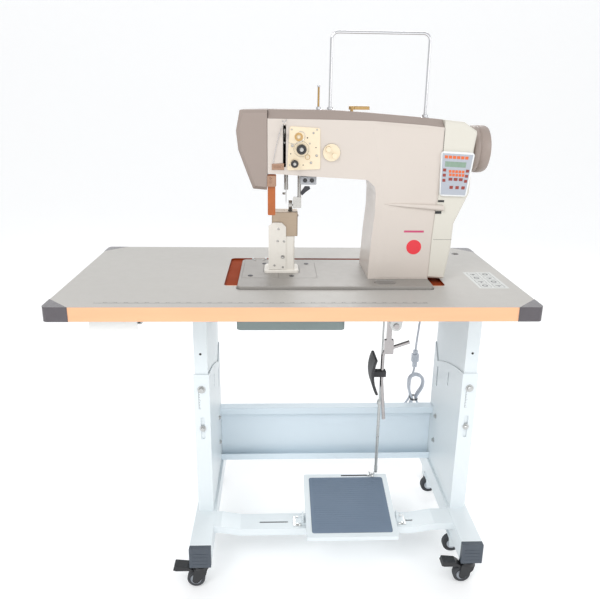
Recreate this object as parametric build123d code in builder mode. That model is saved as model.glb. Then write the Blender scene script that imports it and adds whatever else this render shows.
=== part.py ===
"""Leather sewing machine: a post-bed roller machine on a height-adjustable stand.

Frame: +X to the operator's right, +Y to the rear, +Z up, millimetres.
The origin is on the floor, under the centre of the worktop.
"""
import os
from math import cos, pi, radians, sin, tan

from build123d import *

os.makedirs("parts", exist_ok=True)

# ---------------------------------------------------------------- driving sizes
TABLE_WIDTH = 1200
TABLE_DEPTH = 600
TABLE_TOP = 843
TABLE_THICK = 37

FOOT_X = (-255.4, 497.2)
FOOT_WIDTH = 58
FOOT_TOP = 142
FOOT_BOTTOM = 81
FOOT_FRONT = -274
FOOT_REAR = 228
CAP_DEPTH = 14

LEG_WIDTH = 43.6
LEG_OUTER = (-277.2, 519.0)
LEG_FRONT = -131
LEG_REAR = 165
LEG_LOW_FRONT_TOP = 586
LEG_LOW_REAR_TOP = 600
LEG_SHEET = 2.5

BED_X = (-150, 365)
BED_Y = (-162, 112)
BED_TOP = TABLE_TOP + 8
BED_BOTTOM = TABLE_TOP - 30
TILT_Y = 124
TILT_Z = TABLE_TOP + 1

HEAD_FRONT = -90
HEAD_REAR = 80
WALL = 5

POST_X = (-70, 2)
POST_Y = (-30, 30)
POST_TOP = TABLE_TOP + 178
NEEDLE_X = -22
PRESSER_X = 14
HOOK_X = -40

SHAFT_Z = TABLE_TOP + 350
SHAFT_R = 8
LOWER_SHAFT_Z = TABLE_TOP - 46
PULLEY_X = 330
PULLEY_R = 24
RUN_GAP = 0.05

WHEEL_R = 25
CASTER_Y = (-260, 214)
CASTER_TRAIL = 16

TREADLE_PIVOT = (-165, 150)
TREADLE_TILT = 10
PITMAN_X = 268


def save(piece, name):
    """Label a finished piece and write it to its own file."""
    piece.label = name
    export_step(piece, "parts/" + name + ".step")


def z_up(dz):
    """Height above the worktop's surface, as a height above the floor."""
    return TABLE_TOP + dz


# ---------------------------------------------------------------- stand: feet and lower legs
def lower_leg(outer, foot_x, inward):
    """Foot tube with a C-shaped sheet leg welded on it; inward is +1 when the web faces +X."""
    web_x = outer + inward * (LEG_WIDTH - LEG_SHEET / 2)
    mid_x = outer + inward * LEG_WIDTH / 2
    with BuildPart() as leg:
        with BuildSketch(Plane.XZ.offset(-FOOT_FRONT)):
            with Locations((foot_x, (FOOT_TOP + FOOT_BOTTOM) / 2)):
                Rectangle(FOOT_WIDTH, FOOT_TOP - FOOT_BOTTOM)
                Rectangle(FOOT_WIDTH - 5, FOOT_TOP - FOOT_BOTTOM - 5, mode=Mode.SUBTRACT)
        extrude(amount=-(FOOT_REAR - FOOT_FRONT))
        # web of the channel, with its top edge scooped out between the two flanges
        with BuildSketch(Plane.YZ.offset(web_x)):
            with BuildLine():
                Polyline(
                    (LEG_REAR, LEG_LOW_REAR_TOP - 40),
                    (LEG_REAR, FOOT_TOP - 1),
                    (LEG_FRONT, FOOT_TOP - 1),
                    (LEG_FRONT, LEG_LOW_FRONT_TOP),
                )
                ThreePointArc(
                    (LEG_FRONT, LEG_LOW_FRONT_TOP),
                    (LEG_FRONT + 150, LEG_LOW_FRONT_TOP - 36),
                    (LEG_REAR - 40, LEG_LOW_FRONT_TOP - 78),
                )
                Line((LEG_REAR - 40, LEG_LOW_FRONT_TOP - 78), (LEG_REAR, LEG_LOW_REAR_TOP - 40))
            make_face()
            with Locations((LEG_REAR - 50, 458)):
                SlotOverall(70, 16, rotation=90, mode=Mode.SUBTRACT)
            with Locations((0, 505)):
                SlotOverall(44, 10, rotation=90, mode=Mode.SUBTRACT)
        extrude(amount=LEG_SHEET / 2, both=True)
        # front flange with the height slot, and rear flange
        with BuildSketch(Plane.XZ.offset(-LEG_FRONT)):
            with Locations((mid_x, (LEG_LOW_FRONT_TOP + FOOT_TOP) / 2 - 0.5)):
                Rectangle(LEG_WIDTH, LEG_LOW_FRONT_TOP - FOOT_TOP + 1)
            with Locations((mid_x, 419)):
                SlotOverall(70, 11, rotation=90, mode=Mode.SUBTRACT)
        extrude(amount=-LEG_SHEET)
        with BuildSketch(Plane.XZ.offset(-LEG_REAR)):
            with Locations((mid_x, (LEG_LOW_REAR_TOP - 40 + FOOT_TOP) / 2 - 0.5)):
                Rectangle(LEG_WIDTH, LEG_LOW_REAR_TOP - 40 - FOOT_TOP + 1)
        extrude(amount=LEG_SHEET)
        # short inward lips that stiffen the flanges
        for y in (LEG_FRONT + 9, LEG_REAR - 9):
            with BuildSketch(Plane.XY.offset(FOOT_TOP - 1)):
                with Locations((outer + inward * LEG_SHEET / 2, y)):
                    Rectangle(LEG_SHEET, 18)
            extrude(amount=LEG_LOW_FRONT_TOP - 60 - FOOT_TOP)
    return leg.part


with BuildPart() as end_caps:
    for foot_x in FOOT_X:
        for y, depth in ((FOOT_FRONT, CAP_DEPTH), (FOOT_REAR, -CAP_DEPTH)):
            with BuildSketch(Plane.XZ.offset(-y)):
                with Locations((foot_x, (FOOT_TOP + FOOT_BOTTOM) / 2)):
                    RectangleRounded(FOOT_WIDTH + 1, FOOT_TOP - FOOT_BOTTOM + 1, 2)
            extrude(amount=depth)
save(end_caps.part, "foot_end_caps")

CROSSBAR_X = (LEG_OUTER[0] + LEG_WIDTH, LEG_OUTER[1] - LEG_WIDTH)
CROSSBAR_Z = (143, 338)
CROSSBAR_Y = (128, 160)
with BuildPart() as crossbar:
    with BuildSketch(Plane.YZ.offset(CROSSBAR_X[0])):
        with BuildLine():
            Polyline(
                (CROSSBAR_Y[0], CROSSBAR_Z[0] + 22), (CROSSBAR_Y[0], CROSSBAR_Z[0]),
                (CROSSBAR_Y[1], CROSSBAR_Z[0]), (CROSSBAR_Y[1], CROSSBAR_Z[1]),
                (CROSSBAR_Y[0], CROSSBAR_Z[1]), (CROSSBAR_Y[0], CROSSBAR_Z[1] - 22),
                (CROSSBAR_Y[0] + 2.5, CROSSBAR_Z[1] - 22), (CROSSBAR_Y[0] + 2.5, CROSSBAR_Z[1] - 2.5),
                (CROSSBAR_Y[1] - 2.5, CROSSBAR_Z[1] - 2.5), (CROSSBAR_Y[1] - 2.5, CROSSBAR_Z[0] + 2.5),
                (CROSSBAR_Y[0] + 2.5, CROSSBAR_Z[0] + 2.5), (CROSSBAR_Y[0] + 2.5, CROSSBAR_Z[0] + 22),
                close=True,
            )
        make_face()
    extrude(amount=CROSSBAR_X[1] - CROSSBAR_X[0])
save(crossbar.part, "rear_crossbar")

BAR_X = (FOOT_X[0] + FOOT_WIDTH / 2, FOOT_X[1] - FOOT_WIDTH / 2)
BAR_Y = (-197, -131)
BAR_END_TOP = 141
BAR_TOP = 130
BAR_LIP = 22
with BuildPart() as treadle_bar:
    with BuildSketch(Plane.XZ.offset(-BAR_Y[0])):
        with BuildLine():
            Polyline(
                (BAR_X[0], BAR_END_TOP), (BAR_X[0] + 20, BAR_END_TOP), (BAR_X[0] + 75, BAR_TOP),
                (BAR_X[1] - 120, BAR_TOP), (BAR_X[1] - 55, BAR_END_TOP), (BAR_X[1], BAR_END_TOP),
                (BAR_X[1], BAR_END_TOP - BAR_LIP), (BAR_X[1] - 55, BAR_END_TOP - BAR_LIP),
                (BAR_X[1] - 120, BAR_TOP - BAR_LIP), (BAR_X[0] + 75, BAR_TOP - BAR_LIP),
                (BAR_X[0] + 20, BAR_END_TOP - BAR_LIP), (BAR_X[0], BAR_END_TOP - BAR_LIP),
                close=True,
            )
        make_face()
    extrude(amount=-(BAR_Y[1] - BAR_Y[0]))
    # hollow from below, leaving a bent top sheet with two lips
    with BuildSketch(Plane.XZ.offset(-BAR_Y[0] - 3)):
        with BuildLine():
            Polyline(
                (BAR_X[0] - 1, BAR_END_TOP - 3), (BAR_X[0] + 20, BAR_END_TOP - 3),
                (BAR_X[0] + 75, BAR_TOP - 3), (BAR_X[1] - 120, BAR_TOP - 3),
                (BAR_X[1] - 55, BAR_END_TOP - 3), (BAR_X[1] + 1, BAR_END_TOP - 3),
                (BAR_X[1] + 1, BAR_TOP - BAR_LIP - 5), (BAR_X[0] - 1, BAR_TOP - BAR_LIP - 5),
                close=True,
            )
        make_face()
    extrude(amount=-(BAR_Y[1] - BAR_Y[0] - 6), mode=Mode.SUBTRACT)
    # adjusting slots and the two ears that carry the treadle's pivot
    with BuildSketch(Plane.XY.offset(BAR_TOP + 1)):
        with Locations((-55, -168)):
            SlotOverall(84, 6)
        with Locations((326, -168)):
            SlotOverall(84, 6)
    extrude(amount=-6, mode=Mode.SUBTRACT)
    for x, ear_x in ((22, 30), (314, 306)):
        with BuildSketch(Plane.XY.offset(BAR_TOP - 1)):
            with Locations((x, -163)):
                Rectangle(26, 34)
        extrude(amount=4)
        with BuildSketch(Plane.YZ.offset(ear_x)):
            with BuildLine():
                Polyline((-175, TREADLE_PIVOT[1]), (-175, BAR_TOP), (-155, BAR_TOP), (-155, TREADLE_PIVOT[1]))
                ThreePointArc((-155, TREADLE_PIVOT[1]), (-165, TREADLE_PIVOT[1] + 10), (-175, TREADLE_PIVOT[1]))
            make_face()
            with Locations(TREADLE_PIVOT):
                Circle(4 + RUN_GAP, mode=Mode.SUBTRACT)
        extrude(amount=2, both=True)
save(treadle_bar.part, "treadle_bar")


# ---------------------------------------------------------------- fasteners of the stand
def hex_bolt(plane, across, head, washer_r, washer=2.0):
    """A hexagon head on a round washer, standing out along the plane's normal."""
    with BuildPart(mode=Mode.PRIVATE) as bolt:
        with BuildSketch(plane):
            Circle(washer_r)
        extrude(amount=washer)
        with BuildSketch(plane.offset(washer)):
            RegularPolygon(across / 2, 6, major_radius=False)
        extrude(amount=head)
        chamfer(bolt.faces().sort_by(Axis(plane.origin, plane.z_dir))[-1].edges(), 0.8)
    return bolt.part


def facing(x, y, z, direction):
    """A plane at a point whose normal is the given direction."""
    return Plane(origin=(x, y, z), z_dir=direction)


bolt_list = []
for leg_x in (LEG_OUTER[0] + LEG_WIDTH / 2, LEG_OUTER[1] - LEG_WIDTH / 2):
    bolt_list.append(hex_bolt(facing(leg_x, LEG_FRONT, 541, (0, -1, 0)), 13, 6, 11))
    bolt_list.append(hex_bolt(facing(leg_x, LEG_FRONT, 419, (0, -1, 0)), 10, 5, 9))
for web_x, side in ((CROSSBAR_X[0], 1), (CROSSBAR_X[1], -1)):
    for bolt_z in (236, 325):
        bolt_list.append(hex_bolt(facing(web_x, 92, bolt_z, (side, 0, 0)), 10, 5, 8))
stand_bolts = Compound(label="stand_bolts", children=bolt_list)
export_step(stand_bolts, "parts/stand_bolts.step")


# ---------------------------------------------------------------- casters and transport wheels
def wheel_solid(centre, axis_dir, radius, width, bore):
    """A wheel with a rounded tread, dished hub faces and a bore."""
    half = width / 2
    plane = Plane(origin=centre, z_dir=axis_dir)
    with BuildPart(mode=Mode.PRIVATE) as wheel:
        with BuildSketch(plane.offset(-half)):
            Circle(radius)
        extrude(amount=width)
        rims = wheel.edges().filter_by(GeomType.CIRCLE).sort_by(SortBy.RADIUS)[-2:]
        fillet(rims, min(3.0, half - 1))
        for sign in (-1, 1):
            with BuildSketch(plane.offset(sign * half)):
                Circle(radius * 0.66)
                Circle(radius * 0.32, mode=Mode.SUBTRACT)
            extrude(amount=-sign * 3, mode=Mode.SUBTRACT)
        with BuildSketch(plane.offset(-half - 1)):
            Circle(bore)
        extrude(amount=width + 2, mode=Mode.SUBTRACT)
    return wheel.part


def caster_fork(foot_x, y):
    """Swivel head, two cheeks and an axle; the wheel trails towards -X."""
    wheel_x = foot_x - CASTER_TRAIL
    with BuildPart() as fork:
        with BuildSketch(Plane.XY.offset(60)):
            with Locations((foot_x, y)):
                Circle(21)
        extrude(amount=11)
        with BuildSketch(Plane.XY.offset(71)):
            with Locations((foot_x, y)):
                Circle(6)
        extrude(amount=FOOT_BOTTOM - 71 - 0.3)
        for side in (-1, 1):
            with BuildSketch(Plane.XZ.offset(-(y + side * 13.5))):
                with BuildLine():
                    Polyline((foot_x + 17, 62), (foot_x + 13, 44), (wheel_x + 8, WHEEL_R - 6))
                    RadiusArc((wheel_x + 8, WHEEL_R - 6), (wheel_x - 9, WHEEL_R + 4), 10)
                    Polyline((wheel_x - 9, WHEEL_R + 4), (foot_x - 20, 62), (foot_x + 17, 62))
                make_face()
            extrude(amount=1.5, both=True)
        with BuildSketch(Plane.XZ.offset(-(y - 15))):
            with Locations((wheel_x, WHEEL_R)):
                Circle(4)
        extrude(amount=-30)
    return fork.part


for foot_x, side_name in zip(FOOT_X, ("left", "right")):
    save(caster_fork(foot_x, CASTER_Y[0]), "caster_fork_" + side_name)
    centre = (foot_x - CASTER_TRAIL, CASTER_Y[0], WHEEL_R)
    save(wheel_solid(centre, (0, 1, 0), WHEEL_R, 20, 4 + RUN_GAP), "caster_wheel_" + side_name)

# the two rear wheels share one axle line across the machine
rear_wheels = [wheel_solid((x, CASTER_Y[1], WHEEL_R), (1, 0, 0), WHEEL_R, 20, 4 + RUN_GAP) for x in FOOT_X]
save(Compound(children=rear_wheels), "rear_wheels")

PEDAL_PIVOT = (-24, 56)
for foot_x, side_name in zip(FOOT_X, ("left", "right")):
    pivot_x = foot_x + PEDAL_PIVOT[0]
    with BuildPart() as pedal:
        with BuildSketch(Plane.XZ.offset(-(CASTER_Y[0] - 14))):
            with BuildLine():
                Polyline(
                    (pivot_x, 53), (pivot_x, 59), (pivot_x - 14, 69), (pivot_x - 50, 73),
                    (pivot_x - 54, 60), (pivot_x - 46, 57), (pivot_x - 12, 57), (pivot_x, 53),
                )
            make_face()
        extrude(amount=-28)
        fillet(pedal.edges().filter_by(Axis.Y), 1.2)
    save(pedal.part, "brake_pedal_" + side_name)

TRANSPORT_X = 477
TRANSPORT_Z = 48
TRANSPORT_R = 27
TRANSPORT_Y = (-164, 118)
transport_wheels = [
    wheel_solid((TRANSPORT_X, y, TRANSPORT_Z), (0, 1, 0), TRANSPORT_R, 18, 4 + RUN_GAP) for y in TRANSPORT_Y
]
save(Compound(children=transport_wheels), "transport_wheels")

with BuildPart() as brackets:
    # transport wheel forks, open below, under the right foot
    for y in TRANSPORT_Y:
        with BuildSketch(Plane.XY.offset(FOOT_BOTTOM - 3)):
            with Locations((TRANSPORT_X + 6, y)):
                Rectangle(40, 36)
        extrude(amount=3)
        for side in (-1, 1):
            with BuildSketch(Plane.XZ.offset(-(y + side * 12))):
                with BuildLine():
                    Polyline(
                        (TRANSPORT_X - 12, FOOT_BOTTOM - 2), (TRANSPORT_X - 7, TRANSPORT_Z - 7),
                        (TRANSPORT_X + 7, TRANSPORT_Z - 7), (TRANSPORT_X + 20, FOOT_BOTTOM - 2),
                        close=True,
                    )
                make_face()
            extrude(amount=1.25, both=True)
        with BuildSketch(Plane.XZ.offset(-(y - 14))):
            with Locations((TRANSPORT_X, TRANSPORT_Z)):
                Circle(4)
        extrude(amount=-28)
    # fixed forks of the rear wheels
    for foot_x in FOOT_X:
        with BuildSketch(Plane.XY.offset(FOOT_BOTTOM - 6)):
            with Locations((foot_x, CASTER_Y[1] - 8)):
                RectangleRounded(40, 44, 4)
        extrude(amount=6)
        for side in (-1, 1):
            with BuildSketch(Plane.YZ.offset(foot_x + side * 13.5)):
                with BuildLine():
                    Polyline(
                        (CASTER_Y[1] - 26, FOOT_BOTTOM - 4), (CASTER_Y[1] - 9, WHEEL_R - 7),
                        (CASTER_Y[1] + 8, WHEEL_R - 7), (CASTER_Y[1] + 13, FOOT_BOTTOM - 4), close=True,
                    )
                make_face()
            extrude(amount=1.5, both=True)
        with BuildSketch(Plane.YZ.offset(foot_x - 15)):
            with Locations((CASTER_Y[1], WHEEL_R)):
                Circle(4)
        extrude(amount=30)
legs = [lower_leg(LEG_OUTER[0], FOOT_X[0], 1), lower_leg(LEG_OUTER[1], FOOT_X[1], -1)]
fused = legs[0].fuse(legs[1], *brackets.part.solids())
save(Compound(children=list(fused.solids())), "lower_legs")

# ---------------------------------------------------------------- treadle and pitman rod
TREADLE_X = (38, 298)
TREADLE_REACH = (-90, 146)
# plane of the treadle's plate, tilted up to the rear; local x is +X, local y runs to the rear
treadle_plane = Plane(
    origin=(0, TREADLE_PIVOT[0], TREADLE_PIVOT[1] + 8),
    x_dir=(1, 0, 0),
    z_dir=(0, -sin(radians(TREADLE_TILT)), cos(radians(TREADLE_TILT))),
)
treadle_mid = ((TREADLE_X[0] + TREADLE_X[1]) / 2, sum(TREADLE_REACH) / 2)
treadle_size = (TREADLE_X[1] - TREADLE_X[0], TREADLE_REACH[1] - TREADLE_REACH[0])
with BuildPart() as treadle:
    with BuildSketch(treadle_plane.offset(-10)):
        with Locations(treadle_mid):
            RectangleRounded(treadle_size[0], treadle_size[1], 5)
    extrude(amount=14)
    with BuildSketch(treadle_plane.offset(-11)):
        with Locations(treadle_mid):
            RectangleRounded(treadle_size[0] - 6, treadle_size[1] - 6, 3)
    extrude(amount=11, mode=Mode.SUBTRACT)
    with BuildSketch(treadle_plane.offset(3)):
        with Locations(treadle_mid):
            RectangleRounded(treadle_size[0] - 30, treadle_size[1] - 28, 7)
    extrude(amount=2, mode=Mode.SUBTRACT)
    # stub pins on the skirt that turn in the bar's ears
    for x, reach in ((TREADLE_X[0] + 2, -16), (TREADLE_X[1] - 2, 16)):
        with BuildSketch(Plane.YZ.offset(x)):
            with Locations(TREADLE_PIVOT):
                Circle(4)
        extrude(amount=reach)
save(treadle.part, "treadle")

# the rod's lower end hangs on the treadle's rear right corner; both halves stay upright
ROD_Y = -4
ROD_JOINT_Z = 190
ROD_UPPER_TOP = 713
with BuildPart() as pitman_lower:
    with BuildSketch(Plane.XY.offset(ROD_JOINT_Z + 4)):
        with Locations((PITMAN_X, ROD_Y)):
            Circle(5.5)
    extrude(amount=10)
    with Locations((PITMAN_X, ROD_Y, ROD_JOINT_Z + 2)):
        Sphere(6)
    with BuildSketch(Plane.XY.offset(ROD_JOINT_Z + 14)):
        with Locations((PITMAN_X, ROD_Y)):
            Circle(4.6)
            Circle(3 + RUN_GAP, mode=Mode.SUBTRACT)
    extrude(amount=236)
save(pitman_lower.part, "pitman_rod_lower")

with BuildPart() as pitman_upper:
    with BuildSketch(Plane.XY.offset(ROD_JOINT_Z + 100)):
        with Locations((PITMAN_X, ROD_Y)):
            Circle(3)
    extrude(amount=ROD_UPPER_TOP - ROD_JOINT_Z - 100)
    with Locations((PITMAN_X, ROD_Y, ROD_UPPER_TOP)):
        Sphere(5.5)
save(pitman_upper.part, "pitman_rod_upper")

# ---------------------------------------------------------------- worktop
CUT_X = (BED_X[0] - 2, BED_X[1] + 2)
CUT_Y = (-165.5, 113.5)
RECESS_X = (-187, 405)
RECESS_Y = (-130, 155)
RECESS_DEPTH = 6
CORNER_R = 12
ROD_HOLE = (530, 218)
ROD_HOLE_R = 8
SKIN = 1.5
TABLE_BOTTOM = TABLE_TOP - TABLE_THICK
GUARD_SIDE = 62
GUARD_LIP = 1
CORNERS = ((-1, -1), (-1, 1), (1, -1), (1, 1))


def guard_corners(sx, sy):
    """The triangle that a corner guard covers, seen from above."""
    x = sx * TABLE_WIDTH / 2
    y = sy * TABLE_DEPTH / 2
    return [(x - sx * GUARD_SIDE, y), (x, y), (x, y - sy * GUARD_SIDE)]


cut_mid = ((CUT_X[0] + CUT_X[1]) / 2, (CUT_Y[0] + CUT_Y[1]) / 2)
recess_mid = ((RECESS_X[0] + RECESS_X[1]) / 2, (RECESS_Y[0] + RECESS_Y[1]) / 2)
with BuildPart() as worktop:
    with BuildSketch(Plane.XY.offset(TABLE_BOTTOM)):
        RectangleRounded(TABLE_WIDTH - 2 * SKIN, TABLE_DEPTH - 2 * SKIN, CORNER_R)
        with Locations(cut_mid):
            RectangleRounded(CUT_X[1] - CUT_X[0], CUT_Y[1] - CUT_Y[0], 14, mode=Mode.SUBTRACT)
        with Locations(ROD_HOLE):
            Circle(ROD_HOLE_R, mode=Mode.SUBTRACT)
    extrude(amount=TABLE_THICK)
    with BuildSketch(Plane.XY.offset(TABLE_TOP)):
        with Locations(recess_mid):
            RectangleRounded(RECESS_X[1] - RECESS_X[0], RECESS_Y[1] - RECESS_Y[0], 14)
    extrude(amount=-RECESS_DEPTH, mode=Mode.SUBTRACT)
    # rebates for the corner guards' top lips
    with BuildSketch(Plane.XY.offset(TABLE_TOP)):
        for sx, sy in CORNERS:
            with BuildLine():
                Polyline(*guard_corners(sx, sy), close=True)
            make_face()
    extrude(amount=-GUARD_LIP, mode=Mode.SUBTRACT)
    # four ledges that carry the bed's corners
    with BuildSketch(Plane.XY.offset(TABLE_BOTTOM)):
        for x in (CUT_X[0] + 14, CUT_X[1] - 14):
            for y in (CUT_Y[0] + 12, CUT_Y[1] - 12):
                with Locations((x, y)):
                    Rectangle(30, 26)
    extrude(amount=BED_BOTTOM - TABLE_BOTTOM - 0.3)
save(worktop.part, "worktop")

with BuildPart() as corner_guards:
    for sx, sy in CORNERS:
        with BuildSketch(Plane.XY.offset(TABLE_BOTTOM)) as guard:
            with BuildLine():
                Polyline(*guard_corners(sx, sy), close=True)
            make_face()
            tip = (sx * TABLE_WIDTH / 2, sy * TABLE_DEPTH / 2)
            fillet(guard.vertices().sort_by_distance(tip)[0], CORNER_R + SKIN)
        extrude(amount=TABLE_THICK)
    with BuildSketch(Plane.XY.offset(TABLE_BOTTOM - 1)):
        RectangleRounded(TABLE_WIDTH - 2 * SKIN, TABLE_DEPTH - 2 * SKIN, CORNER_R)
    extrude(amount=TABLE_THICK + 1 - GUARD_LIP, mode=Mode.SUBTRACT)
save(corner_guards.part, "corner_guards")

# upper channels that slide inside the lower legs, and the plates screwed under the worktop
UPPER_BOTTOM = 330
UPPER_TOP = TABLE_BOTTOM - 3
with BuildPart() as upper_legs:
    for outer, inward in ((LEG_OUTER[0], 1), (LEG_OUTER[1], -1)):
        x_out = outer + inward * 4
        x_in = outer + inward * 40.4
        mid_x = (x_out + x_in) / 2
        with BuildSketch(Plane.XY.offset(UPPER_BOTTOM)):
            with Locations((mid_x, 17)):
                Rectangle(abs(x_in - x_out), 289)
            with Locations((mid_x - inward * LEG_SHEET, 17)):
                Rectangle(abs(x_in - x_out), 289 - 2 * LEG_SHEET, mode=Mode.SUBTRACT)
        extrude(amount=UPPER_TOP - UPPER_BOTTOM)
        with BuildSketch(Plane.XY.offset(UPPER_TOP)):
            with Locations((mid_x - inward * 8, 17)):
                RectangleRounded(76, 320, 6)
        extrude(amount=3)
save(upper_legs.part, "upper_legs")

# oil pan hung below the cut-out, with the knee lifter's bearing lug on its floor
PAN_X = (-154, 136)
PAN_Y = (-148, 108)
PAN_BOTTOM = 724
KNEE_PIVOT = (262, 758)
KNEE_Y = -120
pan_mid = ((PAN_X[0] + PAN_X[1]) / 2, (PAN_Y[0] + PAN_Y[1]) / 2)
pan_size = (PAN_X[1] - PAN_X[0], PAN_Y[1] - PAN_Y[0])
with BuildPart() as oil_pan:
    with BuildSketch(Plane.XY.offset(PAN_BOTTOM)):
        with Locations(pan_mid):
            RectangleRounded(*pan_size, 14)
    extrude(amount=TABLE_BOTTOM - PAN_BOTTOM)
    with BuildSketch(Plane.XY.offset(PAN_BOTTOM + 2)):
        with Locations(pan_mid):
            RectangleRounded(pan_size[0] - 4, pan_size[1] - 4, 12)
    extrude(amount=TABLE_BOTTOM - PAN_BOTTOM, mode=Mode.SUBTRACT)
    # notch that lets the lower shaft pass and lift out
    with BuildSketch(Plane.XY.offset(LOWER_SHAFT_Z - 10)):
        with Locations((PAN_X[1], 0)):
            Rectangle(12, 24)
    extrude(amount=30, mode=Mode.SUBTRACT)
save(oil_pan.part, "oil_pan")

with BuildPart() as knee_bracket:
    with BuildSketch(Plane.XY.offset(TABLE_BOTTOM - 4)):
        with Locations((KNEE_PIVOT[0], -190)):
            RectangleRounded(60, 44, 4)
    extrude(amount=4)
    for y in (-204, -176):
        with BuildSketch(Plane.XZ.offset(-y)):
            with BuildLine():
                Polyline(
                    (KNEE_PIVOT[0] - 14, KNEE_PIVOT[1]), (KNEE_PIVOT[0] - 20, TABLE_BOTTOM - 3),
                    (KNEE_PIVOT[0] + 20, TABLE_BOTTOM - 3), (KNEE_PIVOT[0] + 14, KNEE_PIVOT[1]),
                )
                ThreePointArc(
                    (KNEE_PIVOT[0] + 14, KNEE_PIVOT[1]), (KNEE_PIVOT[0], KNEE_PIVOT[1] - 14),
                    (KNEE_PIVOT[0] - 14, KNEE_PIVOT[1]),
                )
            make_face()
            with Locations(KNEE_PIVOT):
                Circle(7 + RUN_GAP, mode=Mode.SUBTRACT)
        extrude(amount=3, both=True)

# knee lifter: cross shaft, flat bar, clamp block and bent rod; the pad faces -X
with BuildPart() as knee_lifter:
    with BuildSketch(Plane.XZ.offset(212)):
        with Locations(KNEE_PIVOT):
            Circle(7)
    extrude(amount=-98)
    with BuildSketch(Plane.XZ.offset(-KNEE_Y + 5)):
        with Locations(KNEE_PIVOT):
            Circle(13)
        with Locations((KNEE_PIVOT[0], 716)):
            Rectangle(14, 84)
        with Locations((KNEE_PIVOT[0] + 1, 664)):
            RectangleRounded(26, 42, 3)
    extrude(amount=-11)
    with BuildLine():
        FilletPolyline(
            (KNEE_PIVOT[0] + 58, KNEE_Y, 678), (KNEE_PIVOT[0] - 14, KNEE_Y, 652),
            (KNEE_PIVOT[0] - 14, KNEE_Y, 560), (KNEE_PIVOT[0] - 2, KNEE_Y, 440), radius=22,
        )
    with BuildSketch(Plane(origin=(KNEE_PIVOT[0] + 58, KNEE_Y, 678), z_dir=(-72, 0, -26))):
        Circle(5)
    sweep()
save(knee_lifter.part, "knee_lifter")

with BuildPart() as knee_pad:
    with BuildSketch(Plane.XZ.offset(-KNEE_Y + 34)):
        with BuildLine():
            ThreePointArc((222, 638), (213, 586), (228, 532))
            Line((228, 532), (235, 533))
            ThreePointArc((235, 533), (221, 586), (229, 637))
            Line((229, 637), (222, 638))
        make_face()
    extrude(amount=-68)
    fillet(knee_pad.edges().filter_by(Axis.Y), 1.5)
    # clamp collar on the rod
    with BuildSketch(Plane.XY.offset(576)):
        with Locations((237, KNEE_Y)):
            Rectangle(42, 20)
        with Locations((KNEE_PIVOT[0] - 14, KNEE_Y)):
            Circle(5, mode=Mode.SUBTRACT)
        with Locations((212, KNEE_Y)):
            Rectangle(12, 30, mode=Mode.SUBTRACT)
    extrude(amount=16)
save(knee_pad.part, "knee_pad")

# drawer on two runners
DRAWER_X = (-502, -386)
DRAWER_Y = (-262, 60)
DRAWER_Z = (770, 802)
with BuildPart() as drawer_rails:
    for x, side in ((DRAWER_X[0] - 4, 1), (DRAWER_X[1] + 4, -1)):
        with BuildSketch(Plane.XZ.offset(240)):
            with BuildLine():
                Polyline(
                    (x - side * 14, TABLE_BOTTOM), (x + side * 2, TABLE_BOTTOM), (x + side * 2, 780),
                    (x + side * 10, 780), (x + side * 10, 777), (x - side * 1, 777),
                    (x - side * 1, TABLE_BOTTOM - 3), (x - side * 14, TABLE_BOTTOM - 3), close=True,
                )
            make_face()
        extrude(amount=-310)

drawer_mid = ((DRAWER_X[0] + DRAWER_X[1]) / 2, (DRAWER_Y[0] + DRAWER_Y[1]) / 2)
with BuildPart() as drawer:
    with BuildSketch(Plane.XY.offset(DRAWER_Z[0])):
        with Locations(drawer_mid):
            RectangleRounded(94, 322, 4)
    extrude(amount=32)
    with BuildSketch(Plane.XY.offset(DRAWER_Z[0] + 2.5)):
        with Locations(drawer_mid):
            RectangleRounded(89, 317, 3)
    extrude(amount=32, mode=Mode.SUBTRACT)
    for side in (-1, 1):
        with BuildSketch(Plane.XY.offset(781)):
            with Locations((drawer_mid[0] + side * 50, drawer_mid[1])):
                Rectangle(7, 322)
        extrude(amount=3)
    with BuildSketch(Plane.XZ.offset(-DRAWER_Y[0])):
        with Locations((drawer_mid[0], 786)):
            RectangleRounded(DRAWER_X[1] - DRAWER_X[0], 34, 3)
    extrude(amount=4)
save(drawer.part, "drawer")

# control box with the speed sensor's lever on its front
BOX_X = (190, 440)
BOX_Y = (124, 268)
BOX_Z = (700, TABLE_BOTTOM)
SPEED_PIVOT = (72, 730)
with BuildPart() as control_box:
    with BuildSketch(Plane.XY.offset(BOX_Z[0])):
        with Locations(((BOX_X[0] + BOX_X[1]) / 2, (BOX_Y[0] + BOX_Y[1]) / 2)):
            RectangleRounded(BOX_X[1] - BOX_X[0], BOX_Y[1] - BOX_Y[0], 6)
    extrude(amount=BOX_Z[1] - BOX_Z[0])
    fillet(control_box.faces().sort_by(Axis.Z)[0].edges(), 3)
    with Locations((PITMAN_X + 16, 94, 740)):
        Box(24, 64, 40)
    with BuildSketch(Plane.YZ.offset(PITMAN_X + 4)):
        with Locations(SPEED_PIVOT):
            Circle(5)
    extrude(amount=-16)
    # strain relief of the mains cord under the box
    with BuildSketch(Plane.XY.offset(BOX_Z[0])):
        with Locations((430, 215)):
            Circle(9)
    with BuildSketch(Plane.XY.offset(BOX_Z[0] - 30)):
        with Locations((430, 215)):
            Circle(4.5)
    loft()
save(control_box.part, "control_box")

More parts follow.
